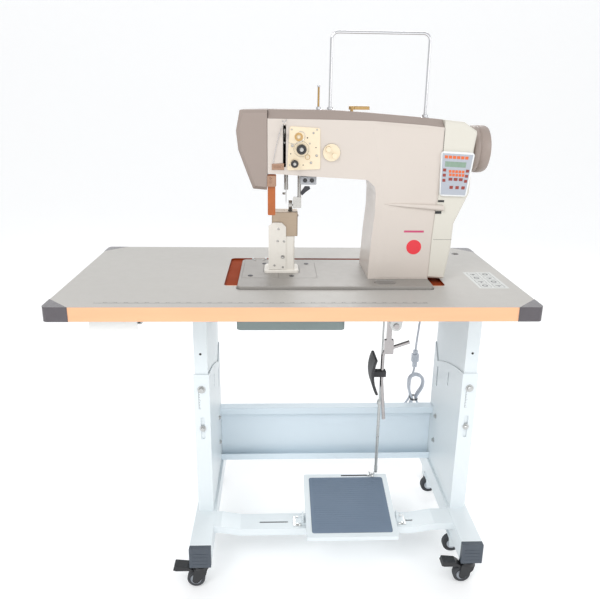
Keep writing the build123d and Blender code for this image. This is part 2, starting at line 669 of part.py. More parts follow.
with BuildPart() as speed_lever:
    with BuildSketch(Plane.YZ.offset(PITMAN_X - 10)):
        with Locations(SPEED_PIVOT):
            Circle(10)
        with Locations(((SPEED_PIVOT[0] + ROD_Y) / 2, SPEED_PIVOT[1])):
            Rectangle(SPEED_PIVOT[0] - ROD_Y, 12)
        with Locations((ROD_Y, SPEED_PIVOT[1])):
            Circle(8)
        with Locations(SPEED_PIVOT):
            Circle(5 + RUN_GAP, mode=Mode.SUBTRACT)
    extrude(amount=3)
    with BuildSketch(Plane.YZ.offset(PITMAN_X - 7.5)):
        with Locations((ROD_Y, SPEED_PIVOT[1])):
            Circle(4)
    extrude(amount=12)
save(speed_lever.part, "speed_lever")

# ---------------------------------------------------------------- machine bed
with BuildPart() as bed:
    bed_mid = ((BED_X[0] + BED_X[1]) / 2, (BED_Y[0] + BED_Y[1]) / 2)
    bed_size = (BED_X[1] - BED_X[0], BED_Y[1] - BED_Y[0])
    with BuildSketch(Plane.XY.offset(BED_BOTTOM)):
        with Locations(bed_mid):
            RectangleRounded(*bed_size, 13)
    extrude(amount=BED_TOP - BED_BOTTOM)
    fillet(bed.faces().sort_by(Axis.Z)[-1].edges(), 2.5)
    with BuildSketch(Plane.XY.offset(BED_BOTTOM)):
        with Locations(bed_mid):
            RectangleRounded(bed_size[0] - 14, bed_size[1] - 14, 8)
    extrude(amount=22, mode=Mode.SUBTRACT)
    # oil window pocket, passage for the hook shaft and passage for the belt
    with BuildSketch(Plane.XY.offset(BED_TOP)):
        with Locations((241, -123)):
            SlotOverall(60, 39)
    extrude(amount=-2, mode=Mode.SUBTRACT)
    with BuildSketch(Plane.XY.offset(BED_BOTTOM)):
        with Locations((HOOK_X, 0)):
            Circle(9)
        with Locations((PULLEY_X, 0)):
            Rectangle(20, 66)
    extrude(amount=60, mode=Mode.SUBTRACT)
    # pocket for the two cover plates
    with BuildSketch(Plane.XY.offset(BED_TOP)):
        with Locations((-39.5, -8.5)):
            Rectangle(206, 154)
        with Locations((-34, 0)):
            Rectangle(100, 76, mode=Mode.SUBTRACT)
    extrude(amount=-1.5, mode=Mode.SUBTRACT)
    # bearing hangers of the lower shaft
    for x in (30, 290):
        with BuildSketch(Plane.YZ.offset(x - 10)):
            with BuildLine():
                Polyline((-16, LOWER_SHAFT_Z), (-22, BED_BOTTOM + 22), (22, BED_BOTTOM + 22), (16, LOWER_SHAFT_Z))
                ThreePointArc((16, LOWER_SHAFT_Z), (0, LOWER_SHAFT_Z - 16), (-16, LOWER_SHAFT_Z))
            make_face()
            with Locations((0, LOWER_SHAFT_Z)):
                Circle(6 + RUN_GAP, mode=Mode.SUBTRACT)
        extrude(amount=20)
    # hinge knuckles on the rear edge
    for x in (-100, 300):
        with BuildSketch(Plane.YZ.offset(x - 15)):
            with Locations((TILT_Y, TILT_Z)):
                Circle(6.5)
            with Locations((TILT_Y - 7, TILT_Z + 1)):
                Rectangle(14, 9)
            with Locations((TILT_Y, TILT_Z)):
                Circle(4 + RUN_GAP, mode=Mode.SUBTRACT)
        extrude(amount=30)
save(bed.part, "bed")

with BuildPart() as hinge_pins:
    for x in (-100, 300):
        with BuildSketch(Plane.YZ.offset(x - 24)):
            with Locations((TILT_Y, TILT_Z)):
                Circle(4)
        extrude(amount=48)
        for lug_x in (x - 22, x + 16):
            with BuildSketch(Plane.YZ.offset(lug_x)):
                with Locations((TILT_Y + 3, TABLE_TOP - RECESS_DEPTH + 7)):
                    Rectangle(18, 14)
            extrude(amount=6)
        with BuildSketch(Plane.XY.offset(TABLE_TOP - RECESS_DEPTH)):
            with Locations((x, TILT_Y + 16)):
                Rectangle(44, 12)
        extrude(amount=3)
fittings = knee_bracket.solids() + drawer_rails.solids() + hinge_pins.solids()
save(Compound(children=list(fittings)), "worktop_fittings")

with BuildPart() as bed_plates:
    for x0, x1 in ((-142, -42.2), (-41.8, 63)):
        with BuildSketch(Plane.XY.offset(BED_TOP - 1.5)):
            with Locations(((x0 + x1) / 2, -8.5)):
                Rectangle(x1 - x0, 153)
            with Locations((-34, 0)):
                Rectangle(102, 78, mode=Mode.SUBTRACT)
        extrude(amount=2)
save(bed_plates.part, "bed_plates")

# ---------------------------------------------------------------- post with hook and feed wheel
POST_SPLIT = TABLE_TOP + 111
post_mid = ((POST_X[0] + POST_X[1]) / 2, 0)
post_size = (POST_X[1] - POST_X[0], POST_Y[1] - POST_Y[0])
with BuildPart() as post:
    with BuildSketch(Plane.XY.offset(BED_TOP)):
        with Locations(post_mid):
            RectangleRounded(post_size[0] + 24, post_size[1] + 12, 8)
    extrude(amount=8)
    chamfer(post.faces().sort_by(Axis.Z)[-1].edges(), 3)
    with BuildSketch(Plane.XY.offset(BED_TOP)):
        with Locations(post_mid):
            RectangleRounded(*post_size, 6)
    extrude(amount=POST_SPLIT - BED_TOP)
    with BuildSketch(Plane.XY.offset(BED_TOP)):
        with Locations(post_mid):
            RectangleRounded(post_size[0] - 10, post_size[1] - 10, 3)
    extrude(amount=POST_SPLIT - BED_TOP - 8, mode=Mode.SUBTRACT)
    with BuildSketch(Plane.XY.offset(POST_SPLIT - 10)):
        with Locations((HOOK_X, 0)):
            Circle(5 + RUN_GAP)
    extrude(amount=20, mode=Mode.SUBTRACT)
    # front plate with a chamfered top
    with BuildSketch(Plane.XZ.offset(-POST_Y[0])):
        with BuildLine():
            Polyline(
                (-70, z_up(17)), (-22, z_up(17)), (-22, z_up(138)), (-34, z_up(150)),
                (-57, z_up(150)), (-70, z_up(140)), close=True,
            )
        make_face()
    extrude(amount=3)
save(post.part, "post")

FEED_X = (-15, -5)
FEED_R = 15
FEED_Z = POST_TOP + 1.5 - FEED_R
CAP_X = (-61, 10)
with BuildPart() as post_cap:
    with BuildSketch(Plane.XY.offset(POST_SPLIT)):
        with Locations(((CAP_X[0] + CAP_X[1]) / 2, 1)):
            RectangleRounded(CAP_X[1] - CAP_X[0], 56, 4)
    extrude(amount=POST_TOP - POST_SPLIT)
    fillet(post_cap.faces().sort_by(Axis.Z)[-1].edges(), 2)
    with BuildSketch(Plane.XY.offset(POST_SPLIT)):
        with Locations((-25.5, 1)):
            Rectangle(65, 48)
    extrude(amount=POST_TOP - POST_SPLIT - 4, mode=Mode.SUBTRACT)
    with BuildSketch(Plane.XY.offset(POST_TOP - 10)):
        with Locations(((FEED_X[0] + FEED_X[1]) / 2, 0)):
            Rectangle(12, 26)
        with Locations((NEEDLE_X, 0)):
            Circle(2)
    extrude(amount=20, mode=Mode.SUBTRACT)
    with BuildSketch(Plane.YZ.offset(CAP_X[1] - 6)):
        with Locations((0, FEED_Z)):
            Circle(3 + RUN_GAP)
    extrude(amount=20, mode=Mode.SUBTRACT)
save(post_cap.part, "post_cap")

with BuildPart() as feed_wheel:
    with BuildSketch(Plane.YZ.offset(FEED_X[0])):
        with Locations((0, FEED_Z)):
            Circle(FEED_R)
    extrude(amount=FEED_X[1] - FEED_X[0])
    with BuildSketch(Plane.YZ.offset(FEED_X[1])):
        with Locations((0, FEED_Z)):
            Circle(3)
    extrude(amount=CAP_X[1] + 3 - FEED_X[1])
save(feed_wheel.part, "feed_wheel")

HOOK_R = 15.5
GEAR_GAP = 0.35
with BuildPart() as hook:
    with BuildSketch(Plane.XY.offset(z_up(146))):
        with Locations((HOOK_X, 0)):
            Circle(HOOK_R)
    extrude(amount=20)
    with BuildSketch(Plane.XY.offset(z_up(152))):
        with Locations((HOOK_X, 0)):
            Circle(HOOK_R - 2)
    extrude(amount=20, mode=Mode.SUBTRACT)
    with BuildSketch(Plane.XY.offset(LOWER_SHAFT_Z + 17)):
        with Locations((HOOK_X, 0)):
            Circle(5)
    extrude(amount=z_up(150) - LOWER_SHAFT_Z - 17)
    with BuildSketch(Plane.XY.offset(LOWER_SHAFT_Z + 16 + GEAR_GAP)):
        with Locations((HOOK_X, 0)):
            Circle(8)
    extrude(amount=9)
    with BuildSketch(Plane.XY.offset(z_up(150))):
        with Locations((HOOK_X, 0)):
            Circle(4)
    extrude(amount=14)
save(hook.part, "hook")

with BuildPart() as lower_shaft:
    with BuildSketch(Plane.YZ.offset(HOOK_X - 4)):
        with Locations((0, LOWER_SHAFT_Z)):
            Circle(6)
    extrude(amount=PULLEY_X + 12 - HOOK_X + 4)
    with BuildSketch(Plane.YZ.offset(HOOK_X + 5)):
        with Locations((0, LOWER_SHAFT_Z)):
            Circle(16)
    extrude(amount=6)
    with BuildSketch(Plane.YZ.offset(PULLEY_X - 6)):
        with Locations((0, LOWER_SHAFT_Z)):
            Circle(PULLEY_R)
    extrude(amount=12)
save(lower_shaft.part, "lower_shaft")

with BuildPart() as belt:
    with BuildSketch(Plane.YZ.offset(PULLEY_X - 5)):
        belt_mid = (0, (SHAFT_Z + LOWER_SHAFT_Z) / 2)
        belt_span = SHAFT_Z - LOWER_SHAFT_Z
        with Locations(belt_mid):
            SlotCenterToCenter(belt_span, 2 * (PULLEY_R + 3.4), rotation=90)
            SlotCenterToCenter(belt_span, 2 * (PULLEY_R + 0.4), rotation=90, mode=Mode.SUBTRACT)
    extrude(amount=10)
save(belt.part, "timing_belt")

# ---------------------------------------------------------------- arm and pillar casting
SEAM_X = -71
with BuildPart() as casting:
    with BuildSketch(Plane.XZ.offset(-HEAD_FRONT)):
        with BuildLine():
            Polyline(
                (SEAM_X, z_up(426)), (SEAM_X, z_up(290)), (17, z_up(284)), (188, z_up(275)),
                (207, z_up(258)), (211, z_up(240)), (211, z_up(186)), (205, z_up(115)),
                (200, z_up(30)), (200, BED_TOP), (364, BED_TOP), (366, z_up(115)), (370, z_up(187)),
                (375, z_up(230)), (379, z_up(409)), (330, z_up(414)), (195, z_up(423)),
                (87, z_up(425)), close=True,
            )
        make_face()
    extrude(amount=-(HEAD_REAR - HEAD_FRONT))
    with BuildSketch(Plane.XZ.offset(-HEAD_FRONT - WALL)):
        with BuildLine():
            Polyline(
                (SEAM_X + WALL, z_up(440)), (SEAM_X + WALL, z_up(297)), (17, z_up(291)),
                (192, z_up(282)), (213, z_up(262)), (217, z_up(240)), (217, z_up(186)),
                (211, z_up(115)), (206, z_up(30)), (206, z_up(0)), (358, z_up(0)), (360, z_up(115)),
                (364, z_up(187)), (369, z_up(232)), (372, z_up(440)), close=True,
            )
        make_face()
    extrude(amount=-(HEAD_REAR - HEAD_FRONT - 2 * WALL), mode=Mode.SUBTRACT)
    # bearing walls of the main shaft
    for x in (56, 290):
        with BuildSketch(Plane.YZ.offset(x)):
            with Locations((0, z_up(345))):
                Rectangle(162, 112)
            with Locations((0, SHAFT_Z)):
                Circle(SHAFT_R + RUN_GAP, mode=Mode.SUBTRACT)
        extrude(amount=12)
    with BuildSketch(Plane.YZ.offset(360)):
        with Locations((0, SHAFT_Z)):
            Circle(16)
    extrude(amount=30, mode=Mode.SUBTRACT)
    # guides of the needle bar and the presser bar, and the take-up lever's slot
    with BuildSketch(Plane.XY.offset(z_up(270))):
        with Locations((NEEDLE_X, 0)):
            Circle(5.5 + RUN_GAP)
        with Locations((PRESSER_X, 0)):
            Circle(5 + RUN_GAP)
    extrude(amount=40, mode=Mode.SUBTRACT)
    with BuildSketch(Plane.XZ.offset(-HEAD_FRONT)):
        with Locations((-28, z_up(358))):
            SlotOverall(104, 8, rotation=90)
    extrude(amount=-12, mode=Mode.SUBTRACT)
    # opening between the arm and the face cover
    with BuildSketch(Plane.YZ.offset(SEAM_X - 1)):
        with Locations((-5, z_up(360))):
            RectangleRounded(120, 90, 6)
    extrude(amount=12, mode=Mode.SUBTRACT)
save(casting.part, "arm_casting")

# bevelled top cover, lofted through stations along the arm: (x, lower edge, upper face)
STATIONS = (
    (SEAM_X, z_up(426), z_up(448)),
    (87, z_up(425), z_up(448)),
    (195, z_up(423), z_up(442)),
    (330, z_up(414), z_up(432)),
    (379, z_up(409), z_up(428)),
)
with BuildPart() as top_cover:
    for x, low, high in STATIONS:
        with BuildSketch(Plane.YZ.offset(x)):
            with BuildLine():
                Polyline(
                    (HEAD_FRONT, low), (HEAD_FRONT + 28, high), (HEAD_REAR - 28, high),
                    (HEAD_REAR, low), close=True,
                )
            make_face()
    loft(ruled=True)
    for x, low, high in STATIONS:
        reach = {SEAM_X: 4, 379: -4}.get(x, 0)
        with BuildSketch(Plane.YZ.offset(x + reach)):
            with BuildLine():
                Polyline(
                    (HEAD_FRONT + 4, low - 0.5), (HEAD_FRONT + 30, high - 4), (HEAD_REAR - 30, high - 4),
                    (HEAD_REAR - 4, low - 0.5), close=True,
                )
            make_face()
    loft(ruled=True, mode=Mode.SUBTRACT)
    with BuildSketch(Plane.XY.offset(z_up(420))):
        with Locations((90, -30), (340, -30)):
            Circle(4 + RUN_GAP)
        with Locations((60, -30)):
            Circle(2.5 + RUN_GAP)
        with Locations((147, -30)):
            Circle(4 + RUN_GAP)
    extrude(amount=40, mode=Mode.SUBTRACT)
save(top_cover.part, "top_cover")

FACE_OUTLINE = ((-141, 446), (-151, 395), (-146, 348), (-124, 288), (-109, 249), (-73, 246), (-71.4, 262), (-71.4, 448))
with BuildPart() as face_cover:
    with BuildSketch(Plane.XZ.offset(-HEAD_FRONT)):
        with BuildLine():
            Polyline([(x, z_up(dz)) for x, dz in FACE_OUTLINE], close=True)
        make_face()
    extrude(amount=-(HEAD_REAR - HEAD_FRONT))
    outer_edges = face_cover.faces().filter_by(Axis.Y).edges()
    outer_edges = outer_edges.filter_by(lambda edge: edge.center().X < -74)
    chamfer(outer_edges, 9)
    with BuildSketch(Plane.XZ.offset(-HEAD_FRONT - 10)):
        with BuildLine():
            Polyline(
                (-134, z_up(436)), (-141, z_up(395)), (-136, z_up(350)), (-115, z_up(292)),
                (-104, z_up(259)), (-80, z_up(256)), (-77, z_up(300)), (-60, z_up(300)),
                (-60, z_up(420)), (-77, z_up(424)), (-77, z_up(436)), close=True,
            )
        make_face()
    extrude(amount=-(HEAD_REAR - HEAD_FRONT - 20), mode=Mode.SUBTRACT)
save(face_cover.part, "face_cover")

COVER_OUTLINE = (
    (379.4, 408), (375.4, 230), (370.4, 187), (366.4, 115), (364.4, 10), (410, 7), (422, 93), (424, 160),
    (447, 215), (458, 242), (460, 352), (465, 393), (464, 401), (430, 423), (379.4, 428),
)
with BuildPart() as right_cover:
    with BuildSketch(Plane.XZ.offset(-HEAD_FRONT)):
        with BuildLine():
            Polyline([(x, z_up(dz)) for x, dz in COVER_OUTLINE], close=True)
        make_face()
    extrude(amount=-(HEAD_REAR - HEAD_FRONT))
    rim = right_cover.faces().filter_by(Axis.Y).edges()
    rim = rim.filter_by(lambda edge: edge.center().X > 384 or edge.center().Z > z_up(420))
    chamfer(rim, 5)
    with BuildSketch(Plane.XZ.offset(-HEAD_FRONT - 6)):
        with BuildLine():
            Polyline(
                (370, z_up(404)), (360, z_up(230)), (355, z_up(115)), (355, z_up(16)), (404, z_up(13)),
                (416, z_up(94)), (418, z_up(162)), (441, z_up(218)), (452, z_up(244)), (454, z_up(353)),
                (458, z_up(392)), (428, z_up(416)), (385, z_up(421)), (384, z_up(404)), close=True,
            )
        make_face()
    extrude(amount=-(HEAD_REAR - HEAD_FRONT - 12), mode=Mode.SUBTRACT)
    with BuildSketch(Plane.YZ.offset(440)):
        with Locations((0, SHAFT_Z)):
            Circle(SHAFT_R + 1)
    extrude(amount=40, mode=Mode.SUBTRACT)
save(right_cover.part, "right_cover")

with BuildPart() as panel:
    with BuildSketch(Plane.XZ.offset(-HEAD_FRONT)) as outline:
        with BuildLine():
            Polyline(
                (373, z_up(351)), (461, z_up(347)), (448, z_up(234)), (377, z_up(236)), close=True,
            )
        make_face()
        fillet(outline.vertices(), 8)
    extrude(amount=8)
    fillet(panel.faces().sort_by(Axis.Y)[0].edges(), 2)
save(panel.part, "control_panel")

# ---------------------------------------------------------------- drive: shaft, motor, handwheel
with BuildPart() as main_shaft:
    with BuildSketch(Plane.YZ.offset(36)):
        with Locations((0, SHAFT_Z)):
            Circle(SHAFT_R)
    extrude(amount=480)
    with BuildSketch(Plane.YZ.offset(30)):
        with Locations((0, SHAFT_Z)):
            Circle(22)
    extrude(amount=8)
    with BuildSketch(Plane.YZ.offset(24)):
        with Locations((0, SHAFT_Z + 16)):
            Circle(4)
    extrude(amount=7)
    with BuildSketch(Plane.YZ.offset(PULLEY_X - 6)):
        with Locations((0, SHAFT_Z)):
            Circle(PULLEY_R)
    extrude(amount=12)
    with BuildSketch(Plane.YZ.offset(392)):
        with Locations((0, SHAFT_Z)):
            Circle(24)
    extrude(amount=44)
save(main_shaft.part, "main_shaft")

with BuildPart() as stator:
    with BuildSketch(Plane.YZ.offset(390)):
        with Locations((0, SHAFT_Z)):
            Circle(38)
            Circle(25, mode=Mode.SUBTRACT)
    extrude(amount=48)
save(stator.part, "motor_stator")

HANDWHEEL_X = (467, 519)
HANDWHEEL_R = 63
with BuildPart() as handwheel:
    with BuildSketch(Plane.XZ):
        with BuildLine():
            Polyline(
                (HANDWHEEL_X[0], SHAFT_Z + SHAFT_R), (HANDWHEEL_X[0], SHAFT_Z + 50),
                (HANDWHEEL_X[0] + 6, SHAFT_Z + 60),
            )
            ThreePointArc(
                (HANDWHEEL_X[0] + 6, SHAFT_Z + 60), (HANDWHEEL_X[0] + 18, SHAFT_Z + HANDWHEEL_R),
                (HANDWHEEL_X[0] + 32, SHAFT_Z + 61),
            )
            Polyline(
                (HANDWHEEL_X[0] + 32, SHAFT_Z + 61), (HANDWHEEL_X[1], SHAFT_Z + 52),
                (HANDWHEEL_X[1], SHAFT_Z + 46), (HANDWHEEL_X[0] + 34, SHAFT_Z + 44),
                (HANDWHEEL_X[0] + 34, SHAFT_Z + 18), (HANDWHEEL_X[0] + 46, SHAFT_Z + 15),
                (HANDWHEEL_X[0] + 46, SHAFT_Z + SHAFT_R), (HANDWHEEL_X[0], SHAFT_Z + SHAFT_R),
            )
        make_face()
    revolve(axis=Axis((0, 0, SHAFT_Z), (1, 0, 0)))
save(handwheel.part, "handwheel")

# ---------------------------------------------------------------- needle, presser and take-up
with BuildPart() as needle_bar:
    with BuildSketch(Plane.XY.offset(z_up(244))):
        with Locations((NEEDLE_X, 0)):
            Circle(5.5)
    extrude(amount=176)
    with BuildSketch(Plane.XY.offset(z_up(236))):
        with Locations((NEEDLE_X, 0)):
            Circle(6)
    extrude(amount=14)
    with BuildSketch(Plane.XY.offset(z_up(207))):
        with Locations((NEEDLE_X, 0)):
            Circle(1)
    extrude(amount=30)
    with Locations((NEEDLE_X, 0, z_up(202))):
        Cone(0.3, 1, 10)
save(needle_bar.part, "needle_bar")

FOOT_R = 14
FOOT_Z = POST_TOP + 1.5 + 0.4 + FOOT_R
with BuildPart() as presser_bar:
    with BuildSketch(Plane.XY.offset(z_up(214))):
        with Locations((PRESSER_X, 0)):
            Circle(5)
    extrude(amount=198)
    with BuildSketch(Plane.XY.offset(FOOT_Z - 8)):
        with Locations((8.5, 0)):
            Rectangle(23, 14)
    extrude(amount=30)
    with BuildSketch(Plane.YZ.offset(-1)):
        with Locations((0, FOOT_Z)):
            Circle(3)
    extrude(amount=-14)
save(presser_bar.part, "presser_bar")

with BuildPart() as roller_foot:
    with BuildSketch(Plane.YZ.offset(FEED_X[0])):
        with Locations((0, FOOT_Z)):
            Circle(FOOT_R)
            Circle(3 + RUN_GAP, mode=Mode.SUBTRACT)
    extrude(amount=FEED_X[1] - FEED_X[0])
save(roller_foot.part, "roller_foot")

TAKE_UP_PIVOT = (-52, z_up(366))
with BuildPart() as take_up:
    with BuildSketch(Plane.YZ.offset(-29.5)):
        with BuildLine():
            Polyline(
                (TAKE_UP_PIVOT[0] + 6, TAKE_UP_PIVOT[1] - 5), (-84, z_up(375)), (-112, z_up(392)),
                (-117, z_up(399)), (-110, z_up(402)), (-84, z_up(385)),
                (TAKE_UP_PIVOT[0] + 6, TAKE_UP_PIVOT[1] + 7), close=True,
            )
        make_face()
        with Locations((-111, z_up(396.5))):
            Circle(1.6, mode=Mode.SUBTRACT)
    extrude(amount=3)
    with BuildSketch(Plane.YZ.offset(-33)):
        with Locations(TAKE_UP_PIVOT):
            Circle(7)
    extrude(amount=10)
save(take_up.part, "take_up_lever")

# ---------------------------------------------------------------- thread tension and guides
with BuildPart() as tension_plate:
    with BuildSketch(Plane.XZ.offset(-HEAD_FRONT)) as outline:
        with BuildLine():
            Polyline(
                (-21, z_up(298)), (64, z_up(302)), (62, z_up(404)), (-15, z_up(408)), close=True,
            )
        make_face()
        fillet(outline.vertices(), 5)
    extrude(amount=3)
    with BuildSketch(Plane.XZ.offset(-HEAD_FRONT + 3)):
        with Locations((15, z_up(352)), (-2, z_up(316))):
            Circle(3)
    extrude(amount=18)
    with BuildSketch(Plane.XZ.offset(-HEAD_FRONT + 3)):
        with Locations((15, z_up(352))):
            Circle(17)
        with Locations((-2, z_up(316))):
            Circle(12)
    extrude(amount=3)
    with BuildSketch(Plane.XZ.offset(-HEAD_FRONT + 3)):
        with Locations((8, z_up(382))):
            Circle(3)
    extrude(amount=8)

for name, x, dz, radius in (("upper", 15, 352, 13), ("lower", -2, 316, 10)):
    with BuildPart() as knob:
        with BuildSketch(Plane.XZ.offset(-HEAD_FRONT + 8)):
            with Locations((x, z_up(dz))):
                Circle(radius)
                Circle(3 + RUN_GAP, mode=Mode.SUBTRACT)
        extrude(amount=18)
        fillet(knob.edges().filter_by(GeomType.CIRCLE).sort_by(SortBy.RADIUS)[-2:], 1.5)
    save(knob.part, "tension_knob_" + name)

with BuildPart() as pretension:
    with BuildSketch(Plane.XZ.offset(-HEAD_FRONT)):
        with Locations((92, z_up(344))):
            Circle(22)
    extrude(amount=4)
    with BuildSketch(Plane.XZ.offset(-HEAD_FRONT + 4)):
        with Locations((84, z_up(352)), (100, z_up(336))):
            Circle(7)
    extrude(amount=7)
save(Compound(children=[tension_plate.part.solid(), pretension.part.solid()]), "tension_plates")

LOOP_TOP = z_up(640)
with BuildPart() as thread_loop:
    with BuildLine():
        FilletPolyline(
            (90, -30, z_up(444)), (90, -30, LOOP_TOP - 4), (340, -30, LOOP_TOP - 4), (340, -30, z_up(429)),
            radius=18,
        )
    with BuildSketch(Plane.XY.offset(z_up(444))):
        with Locations((90, -30)):
            Circle(4)
    sweep()

with BuildPart() as guide_pin:
    with BuildSketch(Plane.XY.offset(z_up(444))):
        with Locations((60, -30)):
            Circle(2.5)
    extrude(amount=62)
    with Locations((60, -30, z_up(506))):
        Sphere(4)
    with BuildSketch(Plane.XY.offset(z_up(448.2))):
        with Locations((60, -30)):
            Circle(6)
    extrude(amount=5)
save(Compound(children=[thread_loop.part.solid(), guide_pin.part.solid()]), "thread_guides")

with BuildPart() as top_lever:
    with BuildSketch(Plane.XY.offset(z_up(440))):
        with Locations((147, -30)):
            Circle(4)
    extrude(amount=10)
    with BuildSketch(Plane.XY.offset(z_up(449))):
        with Locations((147, -30)):
            Circle(8)
        with Locations((168, -30)):
            Rectangle(42, 9)
        with Locations((189, -30)):
            Circle(4.5)
    extrude(amount=9)
    fillet(top_lever.faces().sort_by(Axis.Z)[-1].edges(), 2)
save(top_lever.part, "foot_lock_lever")

# ---------------------------------------------------------------- under the arm
with BuildPart() as switch_box:
    with BuildSketch(Plane.XY.offset(z_up(260))):
        with Locations((35, -48)):
            RectangleRounded(42, 60, 4)
    extrude(amount=21)
    fillet(switch_box.faces().sort_by(Axis.Z)[0].edges(), 1.5)
    with BuildSketch(Plane.XZ.offset(78)):
        with Locations((26, z_up(271)), (44, z_up(271))):
            Circle(5.4)
    extrude(amount=-6, mode=Mode.SUBTRACT)
save(switch_box.part, "switch_box")

for name, x in (("left", 26), ("right", 44)):
    with BuildPart() as button:
        with BuildSketch(Plane.XZ.offset(75)):
            with Locations((x, z_up(271))):
                Circle(5)
        extrude(amount=6)
        fillet(button.faces().sort_by(Axis.Y)[0].edges(), 1)
    save(button.part, "button_" + name)

with BuildPart() as hand_lever:
    with BuildSketch(Plane.XZ.offset(84)):
        with BuildLine():
            Polyline(
                (26, z_up(256)), (14, z_up(240)), (18, z_up(232)), (30, z_up(243)), (40, z_up(250)),
                (38, z_up(256)), close=True,
            )
        make_face()
    extrude(amount=-10)
    fillet(hand_lever.edges().filter_by(Axis.Y), 1.5)
save(hand_lever.part, "hand_lift_lever")

with BuildPart() as finger_guard:
    with BuildSketch(Plane.XZ.offset(84)):
        with Locations((-60, z_up(271))):
            RectangleRounded(22, 32, 3)
    extrude(amount=-6)
    with BuildSketch(Plane.XZ.offset(84)):
        with Locations((-61, z_up(218))):
            RectangleRounded(20, 76, 3)
    extrude(amount=-3)
save(finger_guard.part, "finger_guard")

# ---------------------------------------------------------------- mains cord
CORD_R = 3.5
CORD_Y = 215
# hanging stretch from the control box down to the inline connector
CORD_HANG = [
    (430, 215, 670), (433, 216, 640), (431, 215, 606), (428, 214, 572), (425, 214, 538), (424, 215, 506),
]
CORD_BELOW = [(424, 215, 446), (423, 214, 436), (425, 215, 424)]
CORD_TAIL = [(416, 227, 324), (406, 227, 308), (396, 226, 294), (389, 224, 274), (386, 222, 248)]
PLUG_TOP = CORD_TAIL[-1]


def cord_tube(points):
    """A tube of straight runs joined by the largest tangent arcs that the runs allow."""
    corners = [Vector(*point) for point in points]
    radii = []
    for before, here, after in zip(corners, corners[1:], corners[2:]):
        turn = (here - before).get_angle(after - here)
        shorter = min((here - before).length, (after - here).length)
        radii.append(0.45 * shorter / tan(radians(turn) / 2))
    print("cord radii", [round(radius) for radius in radii])
    with BuildPart(mode=Mode.PRIVATE) as tube:
        with BuildLine() as path:
            FilletPolyline(*points, radius=radii)
        with BuildSketch(Plane(origin=points[0], z_dir=path.line @ 0.001 - path.line @ 0)):
            Circle(CORD_R)
        sweep()
    length = sum(edge.length for edge in path.edges())
    print("length", length, "volume over section times length", tube.part.volume / (pi * CORD_R ** 2 * length))
    return tube.part


tubes = [cord_tube(CORD_HANG), cord_tube(CORD_BELOW), cord_tube(CORD_TAIL)]
save(Compound(children=[tube.solid() for tube in tubes]), "power_cord")

with BuildPart() as connector:
    with BuildSketch(Plane.XY.offset(CORD_BELOW[0][2])):
        with Locations((424, CORD_Y)):
            RectangleRounded(15, 12, 3)
    extrude(amount=60)
    with BuildSketch(Plane.XY.offset(CORD_BELOW[0][2] + 20)):
        with Locations((424, CORD_Y)):
            RectangleRounded(24, 18, 4)
    extrude(amount=26)
save(connector.part, "cord_connector")

HANK_DEPTH = 32
HANK_NECK = (418, 438)
with BuildPart() as hank:
    with BuildSketch(Plane.XZ.offset(-CORD_Y - HANK_DEPTH / 2)):
        with BuildLine():
            Polyline((HANK_NECK[1], 328), (462, 385))
            ThreePointArc((462, 385), (440, 421), (425, 424))
            ThreePointArc((425, 424), (408, 412), (404, 388))
            Polyline((404, 388), (HANK_NECK[0], 328), (409, 290), (408, 258))
            ThreePointArc((408, 258), (437, 230), (466, 258))
            Polyline((466, 258), (465, 290), (HANK_NECK[1], 328))
        make_face()
    extrude(amount=HANK_DEPTH)
save(hank.part, "cord_hank")

PLUG_BODY = (38, 26, 34)
PLUG_LENGTH = 46
PIN_GAP = 19
with BuildPart() as plug:
    with BuildSketch(Plane.XY.offset(PLUG_TOP[2] - PLUG_LENGTH)):
        with Locations(PLUG_TOP[:2]):
            RectangleRounded(PLUG_BODY[0], PLUG_BODY[1], 8)
    extrude(amount=PLUG_BODY[2])
    with BuildSketch(Plane.XY.offset(PLUG_TOP[2] - PLUG_LENGTH + PLUG_BODY[2])):
        with Locations(PLUG_TOP[:2]):
            Circle(9)
    with BuildSketch(Plane.XY.offset(PLUG_TOP[2])):
        with Locations(PLUG_TOP[:2]):
            Circle(CORD_R)
    loft()
    with BuildSketch(Plane.XY.offset(PLUG_TOP[2] - PLUG_LENGTH)):
        with Locations((PLUG_TOP[0] - PIN_GAP / 2, PLUG_TOP[1]), (PLUG_TOP[0] + PIN_GAP / 2, PLUG_TOP[1])):
            Circle(2)
    extrude(amount=-19)
save(plug.part, "mains_plug")
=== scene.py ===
"""Looks of the leather sewing machine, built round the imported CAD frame. Metres, the frame's own axes."""
import math
import random

import bmesh
import bpy
from mathutils import Matrix, Vector


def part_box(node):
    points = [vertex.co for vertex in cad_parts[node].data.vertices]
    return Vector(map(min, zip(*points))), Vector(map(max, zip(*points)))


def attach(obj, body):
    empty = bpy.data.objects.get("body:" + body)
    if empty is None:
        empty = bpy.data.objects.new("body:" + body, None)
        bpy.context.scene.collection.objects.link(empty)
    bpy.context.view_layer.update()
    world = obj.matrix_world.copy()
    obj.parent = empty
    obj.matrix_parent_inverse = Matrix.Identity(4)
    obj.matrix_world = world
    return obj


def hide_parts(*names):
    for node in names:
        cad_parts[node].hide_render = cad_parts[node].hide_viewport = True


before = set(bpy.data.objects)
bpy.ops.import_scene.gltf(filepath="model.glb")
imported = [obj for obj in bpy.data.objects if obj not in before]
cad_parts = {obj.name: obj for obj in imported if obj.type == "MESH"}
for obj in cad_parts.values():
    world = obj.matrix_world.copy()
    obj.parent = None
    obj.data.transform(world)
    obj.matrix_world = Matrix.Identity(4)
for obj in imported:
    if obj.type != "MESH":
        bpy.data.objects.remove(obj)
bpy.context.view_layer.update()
random.seed(7)

